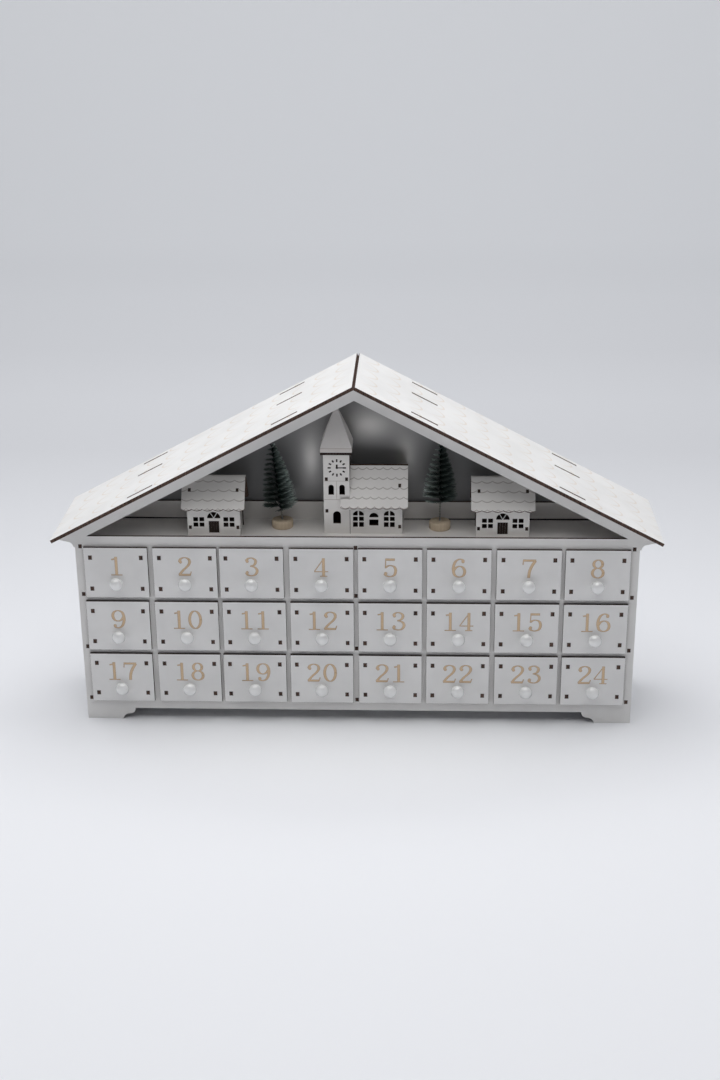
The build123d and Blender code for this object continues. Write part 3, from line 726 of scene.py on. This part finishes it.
# %% Blank drawer front
blank_front = block("blank_front", (-front_half, 0, -front_rise), (front_half, thick, front_rise))
slot_wide = thick / 2 + tab_play
slot_tall = tab_rise / 2 + tab_play
for side in (-1, 1):
    for level in tab_levels:
        middle = side * (box_half - thick / 2)
        slot_low = (middle - slot_wide, -thick, level - slot_tall)
        slot_high = (middle + slot_wide, 2 * thick, level + slot_tall)
        combine(blank_front, block("slot", slot_low, slot_high), "DIFFERENCE")
break_edges(blank_front, 0.12 * mm)
coat(blank_front, drawer_face)
print("blank front faces:", len(blank_front.data.polygons))

# %% [markdown]
# Each side wall is a block with two tabs joined to its front end. The back and the bottom fit between
# the walls. Every board keeps the finish of its own facing when they become one object.


# %% Drawer box
def drawer_wall(side):
    """One side wall with its two tabs."""
    left, right = sorted((side * box_half, side * (box_half - thick)))
    wall = block("wall", (left, thick, box_floor), (right, box_end, box_top))
    for level in tab_levels:
        tab = block("tab", (left, 0, level - tab_rise / 2), (right, 2 * thick, level + tab_rise / 2))
        combine(wall, tab, "UNION")
    coat(wall, facing_side)
    return wall


inner_half = box_half - thick
inner_end = box_end - thick
back_board = block("back", (-inner_half, inner_end, box_floor), (inner_half, box_end, box_top))
coat(back_board, facing_viewer)
floor_board = block("floor", (-inner_half, thick, box_floor), (inner_half, inner_end, box_floor + thick))
coat(floor_board, facing_up)
box_boards = [drawer_wall(-1), drawer_wall(1), back_board, floor_board]
for piece in box_boards:
    break_edges(piece, 0.1 * mm)
blank_box = join("blank_box", box_boards)
print("drawer box faces:", len(blank_box.data.polygons), "finishes:", len(blank_box.data.materials))

# %% [markdown]
# ## The knob
# The knobs are turned from wood or moulded, then sprayed a glossy white: a slim neck and a wide low
# dome. A turned piece is drawn as half an outline and spun round its axis, and one level of
# subdivision rounds the steps.


# %% Knob
def turn_piece(name, outline, steps):
    """Spin an outline of radius and height in millimetres round the Z axis into a closed piece."""
    bpy.ops.mesh.primitive_plane_add(size=mm)
    piece = bpy.context.active_object
    piece.name = name
    points = [Vector((radius * mm, 0, height * mm)) for radius, height in outline]
    bpy.ops.object.mode_set(mode="EDIT")
    bpy.ops.mesh.select_mode(type="VERT")
    bpy.ops.mesh.select_all(action="SELECT")
    bpy.ops.mesh.merge(type="CENTER")
    bpy.ops.transform.translate(value=points[0])
    for first, second in zip(points, points[1:]):
        bpy.ops.mesh.extrude_vertices_move(TRANSFORM_OT_translate={"value": second - first})
    bpy.ops.mesh.select_all(action="SELECT")
    bpy.ops.mesh.spin(steps=steps, angle=2 * math.pi, center=(0, 0, 0), axis=(0, 0, 1))
    bpy.ops.mesh.select_all(action="SELECT")
    bpy.ops.mesh.remove_doubles(threshold=0.001 * mm)
    bpy.ops.mesh.normals_make_consistent(inside=False)
    bpy.ops.object.mode_set(mode="OBJECT")
    return piece


knob_outline = [
    (0.0, 0.0), (3.2, 0.0), (3.0, 0.5), (2.9, 1.3), (3.5, 1.9), (4.6, 2.6), (5.15, 3.5),
    (5.25, 4.4), (4.95, 5.5), (4.0, 6.8), (2.5, 7.65), (1.0, 7.94), (0.0, 7.96),
]
knob_level = -7.8 * mm
knob = turn_piece("blank_knob", knob_outline, 24)
modify(knob, "SUBSURF", levels=1, render_levels=1)
bpy.ops.object.shade_smooth()
knob.rotation_euler = (math.pi / 2, 0, 0)
knob.location = (0, 0, knob_level)
settle(knob)

sprayed = mottled("knob_white", 160.0, (0.80, 0.80, 0.79, 1), (0.88, 0.88, 0.87, 1))
knob_white, tree, shader, grains = sprayed
fill(shader, {
    "Roughness": remap(tree, grains["Grain"], (0, 1), (0.16, 0.28)),
    "Coat Weight": 1.0,
    "Coat IOR": 2.0,
    "Coat Roughness": 0.1,
})
coat(knob, knob_white)
print("knob faces:", len(knob.data.polygons))

# %% [markdown]
# ## The numbers
# The numbers are engraved by the laser: shallow grooves with a tan floor and a browner rim, in an old
# book face with thick uprights, hairline turns and ball ends. No font file is used here. Each figure
# is written with a broad pen instead: a smooth path through a few points, whose line is thick where
# the pen runs up or down and thin where it runs across.

# %% Pen strokes
figure_height = 15.2 * mm
figure_spread = 1.12
thick_line = 0.14
thin_line = 0.05
pen = {"trim": 0.0}


def smooth_path(points, samples):
    """Points on a smooth curve through the given ones."""
    knots = [Vector(p) for p in points]
    if len(knots) == 2:
        return knots
    knots = [2 * knots[0] - knots[1]] + knots + [2 * knots[-1] - knots[-2]]
    path = []
    for a, b, c, d in zip(knots, knots[1:], knots[2:], knots[3:]):
        for k in range(samples):
            t = k / samples
            bend = (2 * a - 5 * b + 4 * c - d) * t**2 + (3 * b - a - 3 * c + d) * t**3
            path.append(0.5 * (2 * b + (c - a) * t + bend))
    path.append(knots[-2])
    return path


def pen_stroke(points, width=None, samples=5):
    """One flat pen stroke as a row of four-sided pieces; a fixed width overrides the pen's own."""
    path = [Vector((p.x * figure_spread, p.y)) for p in smooth_path(points, samples)]
    sides = []
    for k, spot in enumerate(path):
        ahead = (path[min(k + 1, len(path) - 1)] - path[max(k - 1, 0)]).normalized()
        half = (width or thin_line + (thick_line - thin_line) * abs(ahead.y) ** 1.4) / 2 - pen["trim"]
        across = Vector((-ahead.y, ahead.x)) * half
        if k in (0, len(path) - 1):
            spot = spot + ahead * pen["trim"] * (1 if k == 0 else -1)
        sides.append((spot + across, spot - across))
    return [(a[0], a[1], b[1], b[0]) for a, b in zip(sides, sides[1:])]


def circle_of(count):
    """The turns of a circle in equal steps, from the right and against the clock."""
    return [2 * math.pi * k / count for k in range(count)]


def ball_end(x, y, radius=0.078):
    """The round end of a stroke."""
    reach = radius - pen["trim"]
    middle = Vector((x * figure_spread, y))
    return [[middle + reach * Vector((math.cos(t), math.sin(t))) for t in circle_of(20)]]


def oval(x, y, across, up):
    """A closed oval stroke."""
    turns = circle_of(24) + [2 * math.pi]
    return pen_stroke([(x + across * math.cos(t), y + up * math.sin(t)) for t in turns], None, 3)


print("pen ready, figure height", round(figure_height / mm, 1))

# %% [markdown]
# Each figure is a short list of strokes on a square one unit high, from the foot at 0 to the head at 1.
# The nine is the six turned upside down.

# %% Figures
six = [
    (0.20, 0.87), (0.12, 0.95), (0.0, 0.97), (-0.15, 0.86), (-0.24, 0.62), (-0.25, 0.36), (-0.18, 0.12),
    (0.0, 0.03), (0.18, 0.11), (0.245, 0.31), (0.18, 0.52), (0.02, 0.60), (-0.13, 0.53), (-0.22, 0.39),
]
lower_bowl = [(0.245, 0.33), (0.18, 0.11), (0.0, 0.028), (-0.16, 0.075), (-0.245, 0.19)]


def draw_figure(digit):
    """The strokes of one figure."""
    if digit == 0:
        return [oval(0, 0.5, 0.245, 0.472)]
    if digit == 1:
        stem = pen_stroke([(0.01, 0.02), (0.01, 0.99)], thick_line)
        flag = pen_stroke([(0.03, 0.96), (-0.05, 0.88), (-0.19, 0.845)], 0.07)
        return [stem, flag, pen_stroke([(-0.24, 0.025), (0.26, 0.025)])]
    if digit == 2:
        neck = [(-0.235, 0.73), (-0.17, 0.90), (0.0, 0.972), (0.17, 0.90), (0.22, 0.73)]
        neck += [(0.13, 0.53), (-0.08, 0.30), (-0.26, 0.05)]
        foot = pen_stroke([(-0.28, 0.055), (0.23, 0.055)], 0.11)
        tick = pen_stroke([(0.215, 0.02), (0.275, 0.23)], thin_line)
        return [pen_stroke(neck), ball_end(-0.185, 0.735), foot, tick]
    if digit == 3:
        top = [(-0.225, 0.80), (-0.14, 0.93), (0.02, 0.972), (0.17, 0.88), (0.195, 0.75)]
        top += [(0.12, 0.60), (-0.05, 0.535)]
        base = [(-0.05, 0.535), (0.13, 0.49), (0.235, 0.37), (0.24, 0.22), (0.15, 0.08)] + lower_bowl[2:]
        return [pen_stroke(top), pen_stroke(base), ball_end(-0.175, 0.79), ball_end(-0.19, 0.20)]
    if digit == 4:
        stem = pen_stroke([(0.10, 0.02), (0.10, 0.98)], thick_line)
        slant = pen_stroke([(0.12, 0.975), (-0.30, 0.28)], thin_line)
        bar = pen_stroke([(-0.31, 0.27), (0.30, 0.27)])
        return [stem, slant, bar, pen_stroke([(-0.06, 0.025), (0.26, 0.025)])]
    if digit == 5:
        bowl = [(-0.205, 0.50), (-0.10, 0.585), (0.03, 0.615), (0.19, 0.54)] + lower_bowl
        flag = pen_stroke([(-0.2, 0.93), (0.21, 0.93)], 0.12)
        stem = pen_stroke([(-0.185, 0.98), (-0.205, 0.48)], thin_line)
        return [pen_stroke(bowl), flag, stem, ball_end(-0.19, 0.20)]
    if digit == 6:
        return [pen_stroke(six), ball_end(0.165, 0.845)]
    if digit == 7:
        stem = pen_stroke([(0.27, 0.92), (0.12, 0.64), (0.02, 0.34), (-0.01, 0.01)], 0.14)
        bar = pen_stroke([(-0.26, 0.925), (0.29, 0.925)], 0.11)
        return [stem, bar, pen_stroke([(-0.25, 0.98), (-0.27, 0.70)], thin_line)]
    if digit == 8:
        return [oval(0, 0.755, 0.19, 0.217), oval(0, 0.285, 0.235, 0.257)]
    return [pen_stroke([(-x, 1 - y) for x, y in six]), ball_end(-0.165, 0.155)]


print("strokes in each figure:", [len(draw_figure(digit)) for digit in range(10)])

# %% [markdown]
# The strokes of a figure overlap, so they are drawn flat and melted into one outline before it is
# pulled to its depth, which keeps the cut clean. Two tools cut each groove: a wide shallow one that
# leaves the brown rim, and a narrower, deeper one that leaves the tan floor.


# %% Cutting tools
def cutting_tool(name, strokes, depth, material):
    """Melt flat strokes into one outline and pull it from before the face to a depth behind it."""
    corners = []
    pieces = []
    for outline in sum(strokes, []):
        pieces.append(list(range(len(corners), len(corners) + len(outline))))
        corners += outline
    flat, _, triangles, _, _, owners = delaunay_2d_cdt(corners, [], pieces, 1, 0.0006)
    inked = [triangle for triangle, owner in zip(triangles, owners) if owner]
    piece = new_piece(name, [(c.x * figure_height, -mm, c.y * figure_height) for c in flat], inked)
    piece.data.materials.append(material)
    only(piece)
    bpy.ops.object.mode_set(mode="EDIT")
    bpy.ops.mesh.select_mode(type="FACE")
    bpy.ops.mesh.select_all(action="SELECT")
    bpy.ops.mesh.extrude_region_move(TRANSFORM_OT_translate={"value": (0, mm + depth, 0)})
    bpy.ops.mesh.select_all(action="SELECT")
    bpy.ops.mesh.delete_loose()
    bpy.ops.mesh.select_all(action="SELECT")
    bpy.ops.mesh.normals_make_consistent(inside=False)
    bpy.ops.object.mode_set(mode="OBJECT")
    return piece


def figure_set(material, trim, depth):
    """The ten figures as cutting tools of one finish, so much narrower and so deep."""
    pen["trim"] = trim
    return [cutting_tool("figure_%d" % digit, draw_figure(digit), depth, material) for digit in range(10)]


scorched = mottled("scorched_rim", 1500.0, (0.38, 0.25, 0.14, 1), (0.54, 0.37, 0.22, 1), 0.85)[0]
engraved = mottled("engraved_floor", 2200.0, (0.63, 0.45, 0.27, 1), (0.80, 0.62, 0.43, 1), 0.8)[0]
wide_figures = figure_set(scorched, 0.0, 0.12 * mm)
narrow_figures = figure_set(engraved, 0.013, 0.25 * mm)
print("figures:", len(wide_figures) + len(narrow_figures))

# %% [markdown]
# A number's figures stand side by side, and their tools are sunk into a copy of the blank front. The
# new faces take the finish of the tool that cut them, and corners that fell together are merged.

# %% Engraving
figure_step = 12.4 * mm
figure_foot = front_rise - 22.3 * mm


def engrave(front, number):
    """Cut a number into a drawer front."""
    digits = [int(sign) for sign in str(number)]
    start = -figure_step * (len(digits) - 1) / 2
    for figures in (wide_figures, narrow_figures):
        tools = []
        for k, digit in enumerate(digits):
            tools.append(copy_of(figures[digit], "tool", (start + k * figure_step, 0, figure_foot)))
        combine(front, join("tool", tools), "DIFFERENCE")
    only(front)
    bpy.ops.object.mode_set(mode="EDIT")
    bpy.ops.mesh.select_all(action="SELECT")
    bpy.ops.mesh.remove_doubles(threshold=0.002 * mm)
    bpy.ops.object.mode_set(mode="OBJECT")


for number in range(1, 25):
    node = "drawer_%02d" % number
    low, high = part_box(node)
    spot = Vector(((low.x + high.x) / 2, low.y + knob_reach, (low.z + high.z) / 2))
    front = copy_of(blank_front, node + "_front")
    engrave(front, number)
    front.location = spot
    settle(front)
    box_piece = copy_of(blank_box, node + "_box", spot)
    knob_piece = copy_of(knob, node + "_knob", spot)
    for piece in (front, box_piece, knob_piece):
        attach(piece, node + "_body")
    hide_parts(node)
for spare in [blank_front, blank_box, knob] + wide_figures + narrow_figures:
    bpy.data.objects.remove(spare)
print("drawers made:", number, "faces on the last front:", len(front.data.polygons))

# %% [markdown]
# ## Marks on the village
# The laser also burns marks into the tower: a clock of twelve short strokes with two hands, a fine
# line at the level of the upper tabs, one between the two windows and one below them. The joint
# between tower and nave shows as a dark seam. All of them are thin flat pieces on the wall.

# %% Clock and lines
# The dark char finish serves the burnt marks and also the painted shadow pieces below.
char_and_shade, tree, shader = open_material("burnt_mark_and_shade")
finish_board(tree, shader, 1.0, white, 0.75)
fine_line = mottled("fine_line", 1200.0, (0.34, 0.29, 0.25, 1), (0.62, 0.57, 0.52, 1), 0.8)[0]
tower_low, tower_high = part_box("church_tower_front")
tower_middle = (tower_low.x + tower_high.x) / 2
clock_x = tower_middle + 0.4 * mm
clock_z = 202.1 * mm
clock_reach = 6.8 * mm
mark_depth = 0.08 * mm
quarter = math.pi / 2


def mark(width, length, start, turn, x=clock_x, z=clock_z):
    """A thin mark on the tower that begins some way above a spot and is turned clockwise round it."""
    piece = block("mark", (-width / 2, -mark_depth, start), (width / 2, 0, start + length))
    break_edges(piece, 0.02 * mm)
    piece.rotation_euler = (0, turn, 0)
    piece.location = (x, tower_low.y, z)
    return settle(piece)


def finish_marks(name, marks, material):
    """Join marks into one piece of one finish on the cabinet."""
    piece = join(name, marks)
    coat(piece, material)
    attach(piece, "cabinet")


marks = []
for hour in range(12):
    tick = 2.3 * mm if hour % 3 == 0 else 1.9 * mm
    marks.append(mark(1.15 * mm, tick, clock_reach - tick, hour * quarter / 3))
short_hand = mark(1.3 * mm, 3.4 * mm, -0.8 * mm, 0.0)
long_hand = mark(0.8 * mm, 5.6 * mm, -0.9 * mm, quarter)
seam = mark(0.35 * mm, 19.0 * mm, 0, 0, tower_high.x, tower_low.z)
finish_marks("church_clock", marks + [short_hand, long_hand, seam], char_and_shade)

hairline = 0.3 * mm
left_edge = tower_low.x + hairline
upper_line = mark(hairline, 18.6 * mm, 0, quarter, left_edge, 191.8 * mm)
lower_line = mark(hairline, 11.6 * mm, 0, quarter, left_edge, 177.2 * mm)
window_line = mark(hairline, 14.4 * mm, 0, 0, tower_middle, 177.3 * mm)
finish_marks("church_lines", [upper_line, lower_line, window_line], fine_line)
print("hours on the clock:", len(marks))

# %% [markdown]
# Towards its ends a dark line shows at the foot of the strip before the mirror. It is painted shadow:
# a long thin dark wedge at each end, half as high at its inner end.

# %% Painted shadow under the strip
ledge_low, ledge_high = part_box("stage_ledge")
shadow_front = ledge_low.y - 0.1 * mm
shadow_back = ledge_low.y + 0.4 * mm
shadow_foot = ledge_low.z
shadow_rise = 1.5 * mm
for name, start, end in (("left_painted_shadow", -127.0 * mm, -203.0 * mm), ("right_painted_shadow", 35.5 * mm, 203.0 * mm)):
    left, right = sorted((start, end))
    wedge = block(name, (left, shadow_front, shadow_foot), (right, shadow_back, shadow_foot + shadow_rise))
    for vertex in wedge.data.vertices:
        if abs(vertex.co.x - start) < 0.1 * mm and vertex.co.z > shadow_foot + 0.1 * mm:
            vertex.co.z = shadow_foot + 0.5 * shadow_rise
    break_edges(wedge, 0.04 * mm)
    finish_marks(name, [wedge], char_and_shade)
print("gaps made")

# %% [markdown]
# The cottage doors are four dark planks, side by side in a shallow recess.

# %% Doors
door_half = 3.8 * mm
plank_wide = door_half / 2
plank_gap = 0.05 * mm
for side in ("left", "right"):
    low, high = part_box(side + "_cottage_front")
    planks = []
    for k in range(4):
        left = (low.x + high.x) / 2 - door_half + k * plank_wide
        plank_low = (left, low.y + 0.15 * mm, low.z + 2.3 * mm)
        plank_high = (left + plank_wide - plank_gap, low.y + 0.69 * mm, low.z + 11.4 * mm)
        plank = block("plank", plank_low, plank_high)
        break_edges(plank, 0.12 * mm, 2)
        planks.append(plank)
    finish_marks(side + "_cottage_door", planks, char_and_shade)
print("doors made, planks each:", len(planks))

# %% [markdown]
# ## The trees
# A bottle-brush tree is made as its name says: bristles are laid between two wires, and the wires are
# twisted, so the bristles fan out in a double spiral that shows as tiers. The tips are clipped to a
# cone and paler than the rest, partly frost and partly painted light. The strands on the side of the
# church, where the gable is open and the light strikes along them, are painted paler still, as painted
# light. The foot is a slice of a round stick.

# %% Tree finishes
pine, tree, shader = open_material("pine_bristle")
tip = put(tree, "Attribute", attribute_name="tip").outputs["Fac"]
strand_light = put(tree, "Attribute", attribute_name="strand_light").outputs["Fac"]
green = mix_colour(tree, strand_light, (0.002, 0.015, 0.010, 1), (0.012, 0.060, 0.040, 1))
# The pale tips are partly frost and partly painted light; the pale side is painted light.
frost_and_light = calc(tree, "MULTIPLY", calc(tree, "POWER", tip, 1.4), strand_light)
fill(shader, {"Base Color": mix_colour(tree, frost_and_light, green, (0.78, 0.88, 0.83, 1)), "Roughness": 0.5})

bright = mottled("twisted_wire", 900.0, (0.30, 0.29, 0.27, 1), (0.48, 0.47, 0.45, 1))
steel, tree, shader, grains = bright
# Painted shade: the wire is darkened where the brush covers it.
shaded_in_brush = put(tree, "Attribute", attribute_name="painted_shade_in_brush").outputs["Fac"]
fill(shader, {
    "Base Color": mix_colour(tree, shaded_in_brush, grains["Color"], (0.004, 0.012, 0.009, 1)),
    "Roughness": remap(tree, grains["Grain"], (0, 1), (0.25, 0.45)),
    "Metallic": 1.0,
})

bare, tree, shader = open_material("bare_wood")
stretched = vector_step(tree, "MULTIPLY", place_on(tree), (700.0, 700.0, 90.0))
grain = noise(tree, stretched, 1.0, 4.0)
bump = put(tree, "Bump", {"Height": grain, "Strength": 0.3, "Distance": 0.0003})
fill(shader, {
    "Base Color": mix_colour(tree, grain, (0.54, 0.42, 0.29, 1), (0.76, 0.64, 0.48, 1)),
    "Roughness": 0.7,
    "Normal": bump.outputs["Normal"],
})
print("tree finishes ready")

# %% [markdown]
# The bristles are thousands of thin strands, so each is only three-sided and has two lengths. Two
# values are written on its corners: how near they are to the tip, and how pale the strand is, which
# is partly random and partly painted light, strongest on the side of the church.

# %% Bristles
tree_height = 66.5 * mm
brush_half = 14.0 * mm
spiral_pitch = 8.2 * mm
strands_per_tree = 3600
strand_rings = ((0.0, 0.17 * mm), (0.6, 0.16 * mm), (1.0, 0.10 * mm))


def brush_reach(share):
    """How far the bristles reach at a share of the brush's height."""
    skirt = min(1.0, 0.8 + 6.0 * share)
    return brush_half * skirt * (1.0 - 0.30 * share - 0.55 * share**2)


def bristles(name, brush_start, bright_side, seed):
    """A cloud of thin three-sided strands on a double spiral, pointing up from the foot of the tree."""
    chance = random.Random(seed)
    corners = []
    faces = []
    tips = []
    shades = []
    for k in range(strands_per_tree):
        share = (k + chance.random()) / strands_per_tree * 0.985
        height = brush_start + (tree_height - brush_start) * share
        turn = 2 * math.pi * height / spiral_pitch + math.pi * (k % 2) + chance.gauss(0, 0.06)
        tilt = math.radians(chance.gauss(11, 1.6))
        reach = brush_reach(share) * chance.uniform(0.76, 1.0)
        ahead = Vector((math.cos(turn) * math.cos(tilt), math.sin(turn) * math.cos(tilt), math.sin(tilt)))
        side = Vector((-math.sin(turn), math.cos(turn), 0))
        up = ahead.cross(side)
        root = Vector((0, 0, height)) + ahead * 0.3 * mm
        # Painted light: strands that point towards the church are paler.
        shade = chance.random() * (0.2 + 0.8 * max(0.0, bright_side * math.cos(turn)))
        first = len(corners)
        for distance, radius in strand_rings:
            for corner in range(3):
                angle = 2 * math.pi * corner / 3
                edge = (side * math.cos(angle) + up * math.sin(angle)) * radius
                corners.append(root + ahead * reach * distance + edge)
                tips.append(distance)
                shades.append(shade)
        for ring in (first, first + 3):
            for corner in range(3):
                after = (corner + 1) % 3
                faces.append((ring + corner, ring + after, ring + 3 + after, ring + 3 + corner))
        faces.append((first + 2, first + 1, first))
        faces.append((first + 6, first + 7, first + 8))
    piece = new_piece(name, corners, faces)
    piece.data.attributes.new("tip", "FLOAT", "POINT").data.foreach_set("value", tips)
    piece.data.attributes.new("strand_light", "FLOAT", "POINT").data.foreach_set("value", shades)
    coat(piece, pine)
    return piece


print("bristles ready, strands each:", strands_per_tree)

# %% [markdown]
# The stem is two wires twisted round each other, which a screw modifier winds from two small circles.
# It is painted dark where the brush covers it, a painted shade. The disc is turned like the knobs,
# with rounded rims and a faint hollow round the wire.


# %% Wire and disc
def twisted_wire(name, brush_start):
    """Two wires twisted round each other, from inside the disc to the top of the brush."""
    wires = []
    for side in (-1, 1):
        spot = (side * 0.40 * mm, 0, 3.2 * mm)
        bpy.ops.mesh.primitive_circle_add(vertices=10, radius=0.42 * mm, location=spot)
        wires.append(settle(bpy.context.active_object))
    piece = join(name, wires)
    turns = int((tree_height - 5.0 * mm) / (spiral_pitch / 2))
    modify(piece, "SCREW", screw_offset=spiral_pitch / 2, iterations=turns, steps=14, render_steps=14)
    bpy.ops.object.mode_set(mode="EDIT")
    bpy.ops.mesh.select_all(action="DESELECT")
    bpy.ops.mesh.select_mode(type="EDGE")
    bpy.ops.mesh.select_non_manifold()
    bpy.ops.mesh.edge_face_add()
    bpy.ops.mesh.select_all(action="SELECT")
    bpy.ops.mesh.normals_make_consistent(inside=False)
    bpy.ops.object.mode_set(mode="OBJECT")
    bpy.ops.object.shade_smooth()
    covered = [1.0 if vertex.co.z > brush_start + mm else 0.0 for vertex in piece.data.vertices]
    piece.data.attributes.new("painted_shade_in_brush", "FLOAT", "POINT").data.foreach_set("value", covered)
    coat(piece, steel)
    return piece


def tree_foot(name):
    """The slice of a round stick."""
    outline = [(0.0, 0.0), (7.4, 0.0), (7.8, 0.2), (8.0, 0.6), (8.0, 5.4), (7.8, 5.8), (7.4, 6.0)]
    outline += [(1.6, 6.0), (1.2, 5.8), (0.0, 5.8)]
    piece = turn_piece(name, outline, 40)
    only(piece)
    bpy.ops.object.shade_smooth_by_angle(angle=math.radians(50))
    coat(piece, bare)
    return piece


print("wire and disc ready")

# %% [markdown]
# Both trees are built upright round their own axis. The stem and the brush lean from the top of the
# disc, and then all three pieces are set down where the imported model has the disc.

# %% Trees
disc_rise = 6.0 * mm
for side, lean, brush_start, bright_side, seed in (
    ("left", -6.2, 14.0 * mm, 1, 3),
    ("right", 0.3, 20.5 * mm, -1, 8),
):
    low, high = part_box(side + "_tree_base")
    foot_spot = Vector(((low.x + high.x) / 2, (low.y + high.y) / 2, low.z))
    parts = {
        "base": tree_foot(side + "_tree_foot"),
        "stem": twisted_wire(side + "_tree_wire", brush_start),
        "brush": bristles(side + "_tree_bristles", brush_start, bright_side, seed),
    }
    pivot = Matrix.Translation((0, 0, disc_rise))
    leaning = pivot @ Matrix.Rotation(math.radians(lean), 4, "Y") @ pivot.inverted()
    for part, piece in parts.items():
        if part != "base":
            piece.matrix_world = leaning
            settle(piece)
        piece.location = foot_spot
        settle(piece)
        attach(piece, "cabinet")
        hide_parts(side + "_tree_" + part)
    print(side, "tree set down at", [round(v, 4) for v in foot_spot])
